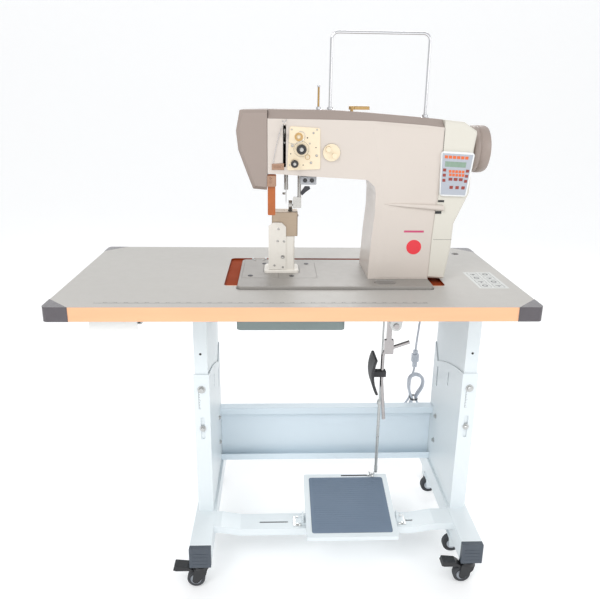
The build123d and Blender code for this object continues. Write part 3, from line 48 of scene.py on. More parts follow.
TABLE_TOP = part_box("worktop")[1].z
MM = 0.001
RIGHT, BACK, UP = (1, 0, 0), (0, 1, 0), (0, 0, 1)
LEFT, AHEAD, DOWN = (-1, 0, 0), (0, -1, 0), (0, 0, -1)


def P(x, y, z):
    """A point given in millimetres above the floor."""
    return Vector((x, y, z)) * MM


def H(x, y, height):
    """A point given in millimetres, its height above the worktop."""
    return Vector((x * MM, y * MM, TABLE_TOP + height * MM))


def srgb(red, green, blue):
    """An sRGB colour from 0 to 255, as a linear RGBA tuple."""
    def linear(value):
        value /= 255
        return value / 12.92 if value <= 0.04045 else ((value + 0.055) / 1.055) ** 2.4
    return (linear(red), linear(green), linear(blue), 1.0)


# ---- camera, light and floor
# the camera as fitted to the worktop's corners and the feet: yaw, pitch and roll are in degrees
CAMERA_ANGLES = (2.27, 16.69, -0.75)
CAMERA_PLACE = (-0.045, -1.6241, TABLE_TOP + 0.4698)
CAMERA_LENS, CAMERA_SHIFT = 35.505, -0.0366


def linked(name, data):
    """A new object in the scene."""
    item = bpy.data.objects.new(name, data)
    bpy.context.scene.collection.objects.link(item)
    return item


def make_camera():
    yaw, pitch, roll = (math.radians(angle) for angle in CAMERA_ANGLES)
    forward = Vector((math.sin(yaw) * math.cos(pitch), math.cos(yaw) * math.cos(pitch), -math.sin(pitch)))
    right = Vector((math.cos(yaw), -math.sin(yaw), 0))
    down = forward.cross(right)
    rolled_right = math.cos(roll) * right + math.sin(roll) * down
    rolled_down = -math.sin(roll) * right + math.cos(roll) * down
    data = bpy.data.cameras.new("camera")
    data.lens, data.sensor_width, data.shift_y = CAMERA_LENS, 36, CAMERA_SHIFT
    camera = linked("camera", data)
    turn = Matrix((rolled_right, -rolled_down, -forward)).transposed().to_4x4()
    camera.matrix_world = Matrix.Translation(CAMERA_PLACE) @ turn
    bpy.context.scene.camera = camera


def make_light(name, place, target, size, power):
    data = bpy.data.lights.new(name, "AREA")
    data.shape, data.size, data.energy = "DISK", size, power
    light = linked(name, data)
    light.location = place
    light.rotation_euler = (Vector(target) - Vector(place)).to_track_quat("-Z", "Y").to_euler()


def make_stage():
    bpy.context.scene.view_settings.view_transform = "Standard"
    world = bpy.data.worlds.new("world")
    world.use_nodes = True
    background = world.node_tree.nodes["Background"]
    background.inputs["Color"].default_value = (0.97, 0.985, 1.0, 1.0)
    background.inputs["Strength"].default_value = 0.80
    bpy.context.scene.world = world
    make_light("key", (-1.6, -2.6, 3.2), (0, 0, 0.8), 1.8, 46)
    make_light("fill", (2.6, -1.8, 1.9), (0.1, 0, 0.7), 1.6, 16)
    make_light("front", (0.3, -3.6, 0.9), (0.1, 0, 0.85), 2.2, 9)
    make_light("rim", (0.6, 2.6, 2.8), (0, 0, 0.9), 1.6, 26)
    # a floor that sweeps up into a backdrop far behind the table
    sweep = [(-12.0, 0.0), (5.0, 0.0)]
    for step in range(1, 17):
        turn = math.pi / 32 * step
        sweep.append((5.0 + 4 * math.sin(turn), 4 - 4 * math.cos(turn)))
    sweep.append((9.0, 14.0))
    mesh = bpy.data.meshes.new("floor")
    verts = [(x, y, z) for y, z in sweep for x in (-16.0, 16.0)]
    mesh.from_pydata(verts, [], [(2 * k, 2 * k + 1, 2 * k + 3, 2 * k + 2) for k in range(len(sweep) - 1)])
    for polygon in mesh.polygons:
        polygon.use_smooth = True
    floor = linked("floor", mesh)
    material = bpy.data.materials.new("pale_floor")
    material.use_nodes = True
    shader = material.node_tree.nodes["Principled BSDF"]
    for socket, value in (
        ("Base Color", (0.93, 0.93, 0.93, 1)), ("Roughness", 0.75),
        ("Emission Color", (1, 1, 1, 1)), ("Emission Strength", 0.17),
    ):
        shader.inputs[socket].default_value = value
    floor.data.materials.append(material)


make_camera()
make_stage()


# ---- materials
def surface(
    name, color, rough=0.4, metal=0.0, shade=0.06, cloud=5.0, grit=700.0, bump=0.15, stretch=(1, 1, 1), coat=0.0,
    speck=None,
):
    """A procedural finish: cloudy colour, uneven gloss, and a fine grain in the bump.

    shade is how dark the clouds get, cloud and grit are how small the clouds and the grain are, and colours are sRGB.
    """
    color = srgb(*color)
    material = bpy.data.materials.new(name)
    material.use_nodes = True
    tree = material.node_tree
    shader = tree.nodes["Principled BSDF"]
    coord = tree.nodes.new("ShaderNodeTexCoord")
    mapping = tree.nodes.new("ShaderNodeMapping")
    mapping.inputs["Scale"].default_value = stretch
    tree.links.new(coord.outputs["Object"], mapping.inputs["Vector"])

    def noise(scale, detail=3.0):
        node = tree.nodes.new("ShaderNodeTexNoise")
        node.inputs["Scale"].default_value = scale
        node.inputs["Detail"].default_value = detail
        tree.links.new(mapping.outputs["Vector"], node.inputs["Vector"])
        return node.outputs["Fac"]

    def mix(factor, first, second):
        node = tree.nodes.new("ShaderNodeMix")
        node.data_type = "RGBA"
        tree.links.new(factor, node.inputs[0])
        for socket, value in ((node.inputs[6], first), (node.inputs[7], second)):
            if isinstance(value, tuple):
                socket.default_value = value
            else:
                tree.links.new(value, socket)
        return node.outputs[2]

    dark = tuple(channel * (1 - shade) for channel in color[:3]) + (1.0,)
    light = tuple(min(1.0, channel * (1 + shade * 0.6)) for channel in color[:3]) + (1.0,)
    tone = mix(noise(cloud), dark, light)
    if speck:
        ramp = tree.nodes.new("ShaderNodeMapRange")
        ramp.inputs["From Min"].default_value = 0.62
        ramp.inputs["From Max"].default_value = 0.70
        tree.links.new(noise(900.0, 1.0), ramp.inputs["Value"])
        tone = mix(ramp.outputs["Result"], tone, srgb(*speck))
    tree.links.new(tone, shader.inputs["Base Color"])
    gloss = tree.nodes.new("ShaderNodeMapRange")
    gloss.inputs["To Min"].default_value = max(0.02, rough - 0.10)
    gloss.inputs["To Max"].default_value = min(1.0, rough + 0.10)
    tree.links.new(noise(40.0), gloss.inputs["Value"])
    tree.links.new(gloss.outputs["Result"], shader.inputs["Roughness"])
    relief = tree.nodes.new("ShaderNodeBump")
    relief.inputs["Strength"].default_value = bump
    relief.inputs["Distance"].default_value = 0.0002
    tree.links.new(noise(grit, 2.0), relief.inputs["Height"])
    tree.links.new(relief.outputs["Normal"], shader.inputs["Normal"])
    shader.inputs["Metallic"].default_value = metal
    shader.inputs["Coat Weight"].default_value = coat
    if not metal and rough > 0.7:
        shader.inputs["Specular IOR Level"].default_value = 0.15
    return material


MAT = {
    "laminate": surface("laminate", (184, 181, 176), 0.46, speck=(176, 174, 170), shade=0.03, bump=0.06),
    "band": surface("edge_band", (246, 184, 140), 0.35, shade=0.10, cloud=18, stretch=(0.3, 1, 3), coat=0.3),
    "recess": surface("recess_brown", (150, 62, 28), 0.8, shade=0.14, cloud=22, stretch=(0.6, 1, 1)),
    "guard": surface("guard_plastic", (84, 79, 84), 0.22, shade=0.2, cloud=30, coat=0.4),
    "stand": surface("stand_powder_coat", (225, 232, 235), 0.34, shade=0.035, grit=420, bump=0.12),
    "crossbar": surface("crossbar_coat", (224, 236, 244), 0.36, shade=0.05, grit=420, bump=0.12),
    "cap": surface("foot_cap_plastic", (70, 78, 88), 0.42, shade=0.12, cloud=30),
    "caster": surface("caster_plastic", (34, 35, 38), 0.38, shade=0.2, cloud=60),
    "tyre": surface("tyre_rubber", (58, 60, 64), 0.62, shade=0.2, cloud=90, grit=1500, bump=0.3),
    "hub": surface("wheel_hub", (178, 184, 192), 0.4, shade=0.12, cloud=80),
    "zinc": surface("zinc_plate", (196, 197, 196), 0.3, 0.9, shade=0.12, cloud=60, stretch=(1, 1, 4)),
    "dark_steel": surface("black_oxide", (62, 62, 66), 0.36, 0.6, shade=0.2, cloud=50),
    "chrome": surface("chrome", (214, 214, 216), 0.12, 1.0, shade=0.05, cloud=40, bump=0.03),
    "cap_steel": surface(
        "post_cap_steel", (176, 158, 138), 0.36, 0.6, shade=0.12, cloud=40, stretch=(1, 1, 6), bump=0.1,
    ),
    "knee_chrome": surface("knee_rod_plate", (176, 172, 172), 0.22, 0.95, shade=0.12, cloud=50),
    "steel": surface(
        "ground_steel", (180, 178, 174), 0.26, 0.95, shade=0.08, cloud=60, stretch=(1, 12, 1), bump=0.2,
    ),
    "bed": surface("bed_lacquer", (154, 150, 145), 0.42, 0.15, shade=0.06, grit=900, bump=0.18),
    "cream": surface("casting_enamel", (208, 198, 189), 0.33, shade=0.05, grit=300, bump=0.10, coat=0.25),
    "post_paint": surface("post_enamel", (228, 223, 214), 0.34, shade=0.05, grit=300, bump=0.10, coat=0.25),
    "taupe": surface("taupe_enamel", (156, 142, 134), 0.42, shade=0.07, grit=650, bump=0.22),
    "ivory": surface("ivory_cover", (214, 210, 199), 0.38, shade=0.04, grit=650, bump=0.16),
    "panel": surface("panel_film", (176, 181, 190), 0.4, shade=0.05, cloud=40),
    "bezel": surface("bezel_white", (232, 233, 232), 0.35, shade=0.04),
    "key_orange": surface("key_orange", (226, 106, 48), 0.4, shade=0.12, cloud=120),
    "key_red": surface("key_red_brown", (150, 62, 52), 0.45, shade=0.12, cloud=120),
    "screen": surface("screen_green", (134, 158, 140), 0.18, shade=0.2, cloud=150, stretch=(1, 1, 0.4), coat=0.6),
    "gold": surface("gold_plate", (232, 216, 188), 0.34, 0.3, shade=0.05, cloud=50, stretch=(1, 1, 3), bump=0.04),
    "brass": surface("brass", (184, 152, 104), 0.26, 1.0, shade=0.12, cloud=60),
    "knob": surface("knob_black", (30, 30, 32), 0.3, shade=0.2, cloud=80, coat=0.3),
    "belt": surface("belt_rubber", (30, 30, 32), 0.7, shade=0.2, grit=1200, bump=0.4),
    "switch": surface("switch_gray", (176, 178, 182), 0.45, shade=0.08, cloud=60),
    "amber": surface("amber_guard", (176, 92, 30), 0.35, shade=0.3, cloud=28, coat=0.15),
    "copper": surface("copper_tone", (164, 132, 112), 0.3, 0.85, shade=0.12, cloud=80),
    "winding": surface("motor_winding", (150, 92, 50), 0.35, 0.7, shade=0.3, cloud=120, stretch=(9, 1, 1)),
    "pan": surface("oil_pan_plastic", (134, 148, 147), 0.5, shade=0.08, grit=500, bump=0.3),
    "drawer": surface("drawer_plastic", (240, 240, 238), 0.42, shade=0.04),
    "box": surface("control_box_coat", (92, 95, 100), 0.42, shade=0.08, grit=400, bump=0.25),
    "knee": surface("knee_pad_rubber", (46, 46, 49), 0.55, shade=0.15, cloud=60, grit=900, bump=0.4),
    "mat": surface("treadle_mat_rubber", (112, 128, 147), 0.62, shade=0.06, grit=700, bump=0.35),
    "cord": surface("cord_sheath", (200, 204, 212), 0.45, shade=0.05, cloud=60, grit=1200),
    "label": surface("plain_label", (206, 207, 204), 0.32, shade=0.03, coat=0.3),
    "label_red": surface("red_disc", (226, 34, 50), 0.34, shade=0.06, cloud=60, coat=0.3),
    "label_rose": surface("rose_strip", (196, 62, 108), 0.34, shade=0.06, cloud=60, coat=0.3),
    "ink": surface("gray_ink", (72, 74, 76), 0.5, shade=0.1, cloud=200),
    "shadow": surface("dark_gap", (40, 38, 36), 0.7, shade=0.2, cloud=200),
    "glass": surface("oil_glass", (58, 62, 64), 0.08, shade=0.25, cloud=60, coat=1.0),
}

NODE_FINISH = {
    "stand": "lower_legs treadle_bar treadle upper_legs",
    "crossbar": "rear_crossbar",
    "cap": "foot_end_caps",
    "caster": "caster_fork_left caster_fork_right brake_pedal_left brake_pedal_right",
    "tyre": "caster_wheel_left caster_wheel_right rear_wheels transport_wheels",
    "zinc": "stand_bolts pitman_rod_lower pitman_rod_upper worktop_fittings speed_lever",
    "laminate": "worktop",
    "guard": "corner_guards",
    "pan": "oil_pan",
    "dark_steel": "hand_lift_lever",
    "knee_chrome": "knee_lifter",
    "knee": "knee_pad",
    "drawer": "drawer",
    "box": "control_box",
    "bed": "bed bed_plates",
    "steel": "feed_wheel hook lower_shaft main_shaft needle_bar presser_bar roller_foot take_up_lever",
    "belt": "timing_belt",
    "cream": "arm_casting",
    "post_paint": "post",
    "cap_steel": "post_cap",
    "taupe": "top_cover face_cover handwheel",
    "ivory": "right_cover",
    "bezel": "control_panel",
    "winding": "motor_stator",
    "gold": "tension_plates",
    "knob": "tension_knob_upper tension_knob_lower button_left button_right",
    "chrome": "thread_guides",
    "brass": "foot_lock_lever",
    "switch": "switch_box",
    "amber": "finger_guard",
    "cord": "power_cord cord_connector cord_hank mains_plug",
}


def dress_cad_nodes():
    """Gives every CAD node its finish, and softens its sharp edges without touching its mesh."""
    plain = {"power_cord", "cord_hank"}
    for finish, names in NODE_FINISH.items():
        for name in names.split():
            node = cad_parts[name]
            for slot in node.material_slots:
                slot.link = "OBJECT"
                slot.material = MAT[finish]
            if name in plain:
                continue
            weld = node.modifiers.new("weld", "WELD")
            weld.merge_threshold = 0.00002
            bevel = node.modifiers.new("bevel", "BEVEL")
            bevel.width = EDGE_WIDTH.get(name, 0.0008)
            bevel.segments = 2
            bevel.limit_method = "ANGLE"
            bevel.angle_limit = math.radians(38)
            bevel.harden_normals = False
            node.modifiers.new("normals", "WEIGHTED_NORMAL").keep_sharp = True


EDGE_WIDTH = {
    "arm_casting": 0.004, "face_cover": 0.002, "top_cover": 0.0025, "right_cover": 0.002, "lower_legs": 0.001,
    "foot_end_caps": 0.0015, "worktop": 0.0006, "corner_guards": 0.0003, "bed": 0.0006,
    "tension_plates": 0.0006, "thread_guides": 0.0003, "needle_bar": 0.0003, "control_panel": 0.001,
}
dress_cad_nodes()


# ---- mesh helpers
def add_piece(name, bm, material, body, slot, sharp=35, bevel=0.0):
    """Turns a bmesh into a shown piece that rides on a body."""
    bmesh.ops.recalc_face_normals(bm, faces=bm.faces)
    mesh = bpy.data.meshes.new(name)
    bm.to_mesh(mesh)
    bm.free()
    for polygon in mesh.polygons:
        polygon.use_smooth = True
    mesh.set_sharp_from_angle(angle=math.radians(sharp))
    piece = linked(name, mesh)
    mesh.materials.append(MAT[material])
    if bevel:
        soften = piece.modifiers.new("bevel", "BEVEL")
        soften.width = bevel
        soften.segments = 2
        soften.limit_method = "ANGLE"
        soften.angle_limit = math.radians(sharp)
        piece.modifiers.new("normals", "WEIGHTED_NORMAL").keep_sharp = True
    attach(piece, body)
    return piece


def frame_along(axis):
    """Two unit vectors square to an axis."""
    axis = Vector(axis).normalized()
    helper = Vector((0, 0, 1)) if abs(axis.z) < 0.9 else Vector((1, 0, 0))
    side = helper.cross(axis).normalized()
    return side, axis.cross(side)


def lathe(bm, origin, axis, profile, sides=48, closed=False):
    """Revolves (radius, height) points about an axis; ends at radius 0 close on one point."""
    origin, axis = Vector(origin), Vector(axis).normalized()
    side, up = frame_along(axis)
    rings = []
    for radius, height in profile:
        centre = origin + axis * height
        if radius <= 1e-7:
            rings.append([bm.verts.new(centre)])
            continue
        rings.append([
            bm.verts.new(centre + radius * (math.cos(turn) * side + math.sin(turn) * up))
            for turn in (2 * math.pi * step / sides for step in range(sides))
        ])
    pairs = list(zip(rings, rings[1:]))
    if closed:
        pairs.append((rings[-1], rings[0]))
    for lower, upper in pairs:
        for step in range(sides):
            after = (step + 1) % sides
            if len(lower) == 1 and len(upper) > 1:
                bm.faces.new((lower[0], upper[after], upper[step]))
            elif len(upper) == 1 and len(lower) > 1:
                bm.faces.new((lower[step], lower[after], upper[0]))
            elif len(lower) > 1:
                bm.faces.new((lower[step], lower[after], upper[after], upper[step]))


def skin(bm, rings, cap=False, closed=True):
    """Joins rings with the same number of points by quads, and can cap the last one."""
    for lower, upper in zip(rings, rings[1:]):
        for step in range(len(lower) if closed else len(lower) - 1):
            after = (step + 1) % len(lower)
            bm.faces.new((lower[step], lower[after], upper[after], upper[step]))
    if cap:
        bm.faces.new(rings[-1])


def prism(bm, outline, origin, u_axis, v_axis, depth):
    """Extrudes a closed 2-D outline, given in metres along two axes, by a depth along their normal."""
    origin, u_axis, v_axis = Vector(origin), Vector(u_axis), Vector(v_axis)
    normal = u_axis.cross(v_axis).normalized()
    near = [bm.verts.new(origin + u * u_axis + v * v_axis) for u, v in outline]
    far = [bm.verts.new(vert.co + normal * depth) for vert in near]
    bm.faces.new(near)
    bm.faces.new(list(reversed(far)))
    skin(bm, [near, far])


def block(bm, low, high):
    """A box between two corners."""
    low, high = Vector(low), Vector(high)
    prism(
        bm, [(0, 0), (high.x - low.x, 0), (high.x - low.x, high.y - low.y), (0, high.y - low.y)],
        low, RIGHT, BACK, high.z - low.z,
    )


def rounded(width, height, radius, steps=5):
    """Outline of a rectangle with round corners, centred on the origin."""
    points = []
    for corner, (sx, sy) in enumerate(((1, 1), (-1, 1), (-1, -1), (1, -1))):
        cx, cy = sx * (width / 2 - radius), sy * (height / 2 - radius)
        for step in range(steps + 1):
            turn = math.pi / 2 * (corner + step / steps)
            points.append((cx + radius * math.cos(turn), cy + radius * math.sin(turn)))
    return points


def slot_outline(length, width, steps=8):
    """Outline of a slot that lies along the first axis."""
    return rounded(length, width, width / 2 * 0.999, steps)


def wire(name, points, radius, material, body, order=4):
    """A round wire along a smooth NURBS curve."""
    curve = bpy.data.curves.new(name, "CURVE")
    curve.dimensions = "3D"
    curve.bevel_depth = radius
    curve.bevel_resolution = 4
    curve.use_fill_caps = True
    curve.resolution_u = 10
    spline = curve.splines.new("NURBS")
    spline.points.add(len(points) - 1)
    for point, place in zip(spline.points, points):
        point.co = (*place, 1.0)
    spline.order_u = order
    spline.use_endpoint_u = True
    piece = linked(name, curve)
    curve.materials.append(MAT[material])
    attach(piece, body)
    return piece


def screw_head(bm, place, normal, radius, height=None, kind="slot"):
    """A fastener head on a surface: a slotted cheese head, a dished socket cap or a hexagon."""
    height = height or radius * 0.55
    place, normal = Vector(place), Vector(normal).normalized()
    if kind == "hex":
        lathe(bm, place, normal, [
            (0, 0), (radius * 1.45, 0), (radius * 1.45, height * 0.22), (radius * 1.1, height * 0.24),
        ], 32)
        lathe(bm, place + normal * height * 0.2, normal, [
            (0, 0), (radius, 0), (radius, height * 0.8), (radius * 0.84, height), (0, height),
        ], 6)
        return
    inner, dish = radius * 0.55, height * (0.45 if kind == "socket" else 0.93)
    lathe(bm, place, normal, [
        (0, 0), (radius, 0), (radius, height * 0.7), (radius * 0.85, height), (inner, height), (inner * 0.9, dish),
        (0, dish),
    ], 28 if kind == "slot" else 24)
    if kind == "slot":
        side, up = frame_along(normal)
        tilt = random.uniform(0, math.pi)
        along = math.cos(tilt) * side + math.sin(tilt) * up
        across = normal.cross(along)
        half, thin = radius * 0.86, radius * 0.10
        prism(
            bm, [(-half, -thin), (half, -thin), (half, thin), (-half, thin)],
            place + normal * height * 0.90, along, across, height * 0.11,
        )


def screws(name, places, normal, radius, height=None, material="steel", body="head", slot="bright_steel", kind="slot"):
    """Like fasteners on one face, as one piece."""
    bm = bmesh.new()
    for place in places:
        screw_head(bm, place, normal, radius, height, kind)
    return add_piece(name, bm, material, body, slot)


def turned(name, places, axis, profile, sides, material, body, slot, **edges):
    """The same turned shape at one or more places, as one piece."""
    bm = bmesh.new()
    for place in places:
        lathe(bm, place, axis, profile, sides)
    return add_piece(name, bm, material, body, slot, **edges)


def plates(name, boxes, material, body, slot, bevel=0.0):
    """Several boxes, each given by two corners, as one piece."""
    bm = bmesh.new()
    for low, high in boxes:
        block(bm, low, high)
    return add_piece(name, bm, material, body, slot, bevel=bevel)


def ring(bm, place, normal, inner, outer, thick, sides=48):
    lathe(bm, place, normal, [(inner, 0), (outer, 0), (outer, thick), (inner, thick)], sides, True)


# ---- mains cord, with the same route as its CAD tubes
CORD_R = 0.0035
CORD_HANG = [
    (0.430, 0.215, 0.670), (0.433, 0.216, 0.640), (0.431, 0.215, 0.606), (0.428, 0.214, 0.572),
    (0.425, 0.214, 0.538), (0.424, 0.215, 0.506),
]
CORD_BELOW = [(0.424, 0.215, 0.446), (0.423, 0.213, 0.436), (0.419, 0.207, 0.426)]
CORD_TAIL = [
    (0.410, 0.227, 0.309), (0.3985, 0.226, 0.295), (0.389, 0.224, 0.274), (0.386, 0.222, 0.248),
]
# one turn of the hank as (x, z), from its left top round through the tied neck and back over the top
HANK_TURN = [
    (0.4075, 0.386), (0.4085, 0.364), (0.4150, 0.346), (0.4230, 0.328), (0.4185, 0.308), (0.4125, 0.284),
    (0.4126, 0.250), (0.4219, 0.2372), (0.4370, 0.2323), (0.4521, 0.2372), (0.4614, 0.250), (0.4600, 0.284),
    (0.4430, 0.308), (0.4345, 0.328), (0.4420, 0.346), (0.4550, 0.366), (0.4585, 0.384), (0.4574, 0.4009),
    (0.4481, 0.4138), (0.4330, 0.4187), (0.4179, 0.4138), (0.4085, 0.4010),
]
HANK_NECK = 3
NECK_X, NECK_Z = 0.4285, 0.328
HANK_PITCH = 0.0078
HANK_FRONT = 0.203
LOBE_SIZES = (1.0, 0.93, 0.97, 0.95)


def hank_points():
    """Three and a bit turns, one behind the other, down to the tied neck."""
    points = []
    count = len(HANK_TURN)
    for step in range(1, 3 * count + HANK_NECK + 1):
        turn, index = divmod(step, count)
        x, z = HANK_TURN[index]
        spread = 1 - (1 - LOBE_SIZES[turn]) * min(1, abs(z - NECK_Z) / 0.05)
        y = HANK_FRONT + HANK_PITCH * step / count
        points.append((NECK_X + (x - NECK_X) * spread, y, NECK_Z + (z - NECK_Z) * spread))
    points[-1] = (0.419, points[-1][1], 0.329)
    return points


def lead(name, points):
    return wire(name, points, CORD_R, "cord", "table", order=3)


upper_lead = lead("upper_lead", CORD_HANG)
lower_lead = lead("lower_lead", CORD_BELOW + [(0.4090, 0.2025, 0.406)] + hank_points() + CORD_TAIL)


# a ribbed strain relief round the cord where it leaves the control box
RELIEF_R, RELIEF_LENGTH, RIBS = 0.0062, 0.026, 5
profile = [(CORD_R * 0.9, 0.0), (RELIEF_R, 0.0)]
for rib in range(RIBS):
    radius = RELIEF_R + (CORD_R * 1.25 - RELIEF_R) * (rib + 0.5) / RIBS
    start, crest, end = (RELIEF_LENGTH * (rib + share) / RIBS for share in (0, 0.6, 0.97))
    profile += [(radius, start + 0.0004), (radius, crest), (radius * 0.84, crest + 0.0002), (radius * 0.84, end)]
profile.append((CORD_R * 0.9, RELIEF_LENGTH))
turned("cord_relief", [(0.430, 0.215, 0.6702)], (0.09, 0, -1), profile, 32, "cord", "table", "cord_gray")

# two turns of the band that ties the hank at its neck
band = rounded(0.0235, 0.0335, 0.009, 8)
bm = bmesh.new()
for level in (0.3255, 0.3295):
    skin(bm, [
        [bm.verts.new((NECK_X + u * grow, 0.215 + v * grow, level + lift)) for u, v in band]
        for grow, lift in ((1.0, -0.0016), (1.08, -0.0008), (1.08, 0.0008), (1.0, 0.0016))
    ])
tie = add_piece("hank_tie", bm, "knob", "table", "cord_gray")

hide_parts("power_cord")
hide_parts("cord_hank")

# ---- worktop
top_low, top_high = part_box("worktop")
TOP_SIZE = top_high - top_low
outer = rounded(TOP_SIZE.x + 0.0011, TOP_SIZE.y + 0.0011, 0.0125, 8)
inner = rounded(TOP_SIZE.x - 0.0005, TOP_SIZE.y - 0.0005, 0.0118, 8)
band_low, band_high = top_low.z + 0.0006, top_high.z - 0.0011
bm = bmesh.new()
rings = [
    [bm.verts.new((u, v, level)) for u, v in outline]
    for outline, level in ((inner, band_low), (outer, band_low), (outer, band_high), (inner, band_high))
]
skin(bm, rings + rings[:1])
add_piece("edge_band", bm, "band", "table", "laminate")

# brown floor and wall of the recess round the bed, open at the front
REC_X, REC_Y, REC_FLOOR = (-0.187, 0.405), (-0.130, 0.155), TABLE_TOP - 0.006
CUTOUT_X, CUTOUT_REAR = (-0.152 - 0.0004, 0.367 + 0.0004), 0.1135 + 0.0004
FLOOR_FRONT, FLOOR_REAR = REC_Y[0] + 0.001, REC_Y[1] - 0.001
WALL_STEPS = 8
bm = bmesh.new()
for x0, y0, x1 in (
    (REC_X[0] + 0.001, FLOOR_FRONT, CUTOUT_X[0]), (CUTOUT_X[0], CUTOUT_REAR, CUTOUT_X[1]),
    (CUTOUT_X[1], FLOOR_FRONT, REC_X[1] - 0.001),
):
    block(bm, (x0, y0, REC_FLOOR), (x1, FLOOR_REAR, REC_FLOOR + 0.0005))
rings = []
for inset, radius, level in (
    (0.0002, 0.0139, REC_FLOOR), (0.0002, 0.0139, TABLE_TOP - 0.0002),
    (0.0012, 0.0134, TABLE_TOP - 0.0002), (0.0012, 0.0134, REC_FLOOR),
):
    outline = rounded(REC_X[1] - REC_X[0] - inset, REC_Y[1] - REC_Y[0] - inset, radius, WALL_STEPS)
    start = 3 * (WALL_STEPS + 1)
    rings.append([
        bm.verts.new((sum(REC_X) / 2 + u, sum(REC_Y) / 2 + v, level)) for u, v in outline[start:] + outline[:start]
    ])
skin(bm, rings, closed=False)
add_piece("recess_liner", bm, "recess", "table", "laminate", sharp=60)
plates("recess_lip", [
    (H(x0, -129.4, -5.4), H(x1, -125.6, -0.3)) for x0, x1 in ((-186, -152.6), (367.6, 404))
], "band", "table", "laminate", 0.0005)

RULER_X, RULER_Y, RULER_STEP, INK = (-484, 322), -271, 2.5, 0.12
boxes = [(H(RULER_X[0], RULER_Y - 0.25, 0), H(RULER_X[1], RULER_Y + 0.05, INK))]
for step in range(int((RULER_X[1] - RULER_X[0]) / RULER_STEP) + 1):
    x = RULER_X[0] + RULER_STEP * step
    tall = 7 if step % 10 == 0 else 4.6 if step % 5 == 0 else 2.8
    boxes.append((H(x - 0.2, RULER_Y, 0), H(x + 0.25, RULER_Y + tall, INK)))
    if step % 10 == 0 and step:
        for side in (-3.2, 3.0):
            boxes.append((H(x + side - 0.9, RULER_Y + 4.6, 0), H(x + side + 0.9, RULER_Y + 7.2, INK)))
            boxes.append((H(x + side - 0.4, RULER_Y + 3.6, 0), H(x + side + 1.1, RULER_Y + 4.2, INK)))
plates("ruler_marks", boxes, "ink", "table", "laminate")

LABEL_X, LABEL_Y = (490, 570), (-150, 3)
plates("worktop_label", [
    (H(LABEL_X[0], LABEL_Y[0], 0), H(LABEL_X[1], LABEL_Y[1], 0.15)),
], "label", "table", "laminate")
bm = bmesh.new()
for row in range(4):
    for column in range(2):
        cx = LABEL_X[0] + 22 + 36 * column
        cy = LABEL_Y[1] - 22 - 36 * row
        for u0, v0, u1, v1 in ((-14, -14, 14, -13), (-14, 13, 14, 14), (-14, -13, -13, 13), (13, -13, 14, 13)):
            block(bm, H(cx + u0, cy + v0, 0.14), H(cx + u1, cy + v1, 0.24))
        if (row + column) % 2:
            ring(bm, H(cx, cy, 0.14), UP, 0.0045, 0.008, 0.0001, 32)
        else:
            block(bm, H(cx - 8, cy - 2, 0.14), H(cx + 8, cy + 2, 0.24))
            block(bm, H(cx - 2, cy - 8, 0.14), H(cx + 2, cy - 2, 0.24))
add_piece("worktop_label_marks", bm, "ink", "table", "laminate")

turned("rod_hole_collar", [H(530, 218, -0.1)], UP, [
    (0.0082, 0), (0.0082, 0.0006), (0.0105, 0.0009), (0.0118, 0.0001),
], 48, "guard", "table", "guard_gray")
bm = bmesh.new()
for sx in (-1, 1):
    for sy in (-1, 1):
        for along in (0.022, 0.046):
            screw_head(bm, (sx * (0.6 - along), sy * 0.2986, TABLE_TOP - 0.0185), (0, sy, 0), 0.003, 0.0013)
add_piece("guard_screws", bm, "zinc", "table", "guard_gray")

# ---- bed and post
screws("plate_screws", [
    P(x, y, 851.4) for x, y in ((-119.4, -64.4), (-6.2, -66.6), (39.5, 60), (-82.9, 60))
], UP, 0.0068, 0.0016, "dark_steel")
POST_FACE = -33
bm = bmesh.new()
for x, height, radius in ((-42.6, 132.6, 3.2), (-44.8, 99, 3.2), (-27.5, 98.2, 3.2), (-53.6, 29.3, 3.2), (-30, 24, 3)):
    screw_head(bm, H(x, POST_FACE, height), AHEAD, radius * MM, 0.0011)
screw_head(bm, H(-30.6, POST_FACE, 54.1), AHEAD, 0.0052, 0.0022)
add_piece("post_screws", bm, "steel", "head", "bright_steel")
WINDOW = (241, -123)
bm = bmesh.new()
prism(bm, [(u * MM, v * MM) for u, v in slot_outline(56, 35, 12)], P(*WINDOW, 849.2), RIGHT, BACK, 0.0008)
add_piece("oil_window", bm, "glass", "head", "dark_steel")
bm = bmesh.new()
skin(bm, [
    [bm.verts.new(P(WINDOW[0] + u, WINDOW[1] + v, level)) for u, v in slot_outline(grow, grow - 21, 12)]
    for grow, level in ((57, 849.2), (60.5, 851.2), (62, 851.2), (62.6, 850.9))
])
add_piece("oil_window_rim", bm, "bed", "head", "bed_silver")

# ---- arm
FRONT = -90


def on_front(name, outlines, thick, material, slot, lift=0.0, bevel=0.0):
    """Flat shapes, each an (x, height) outline in millimetres, standing proud of the arm's front face."""
    bm = bmesh.new()
    for outline in outlines:
        points = [(x * MM, height * MM) for x, height in outline]
        prism(bm, points, H(0, FRONT - lift, 0), RIGHT, UP, thick * MM)
    return add_piece(name, bm, material, "head", slot, bevel=bevel)


def rectangle(x0, z0, x1, z1):
    return [(x0, z0), (x1, z0), (x1, z1), (x0, z1)]


def disc(x, height, radius, sides=40):
    return [
        (x + radius * math.cos(2 * math.pi * step / sides), height + radius * math.sin(2 * math.pi * step / sides))
        for step in range(sides)
    ]


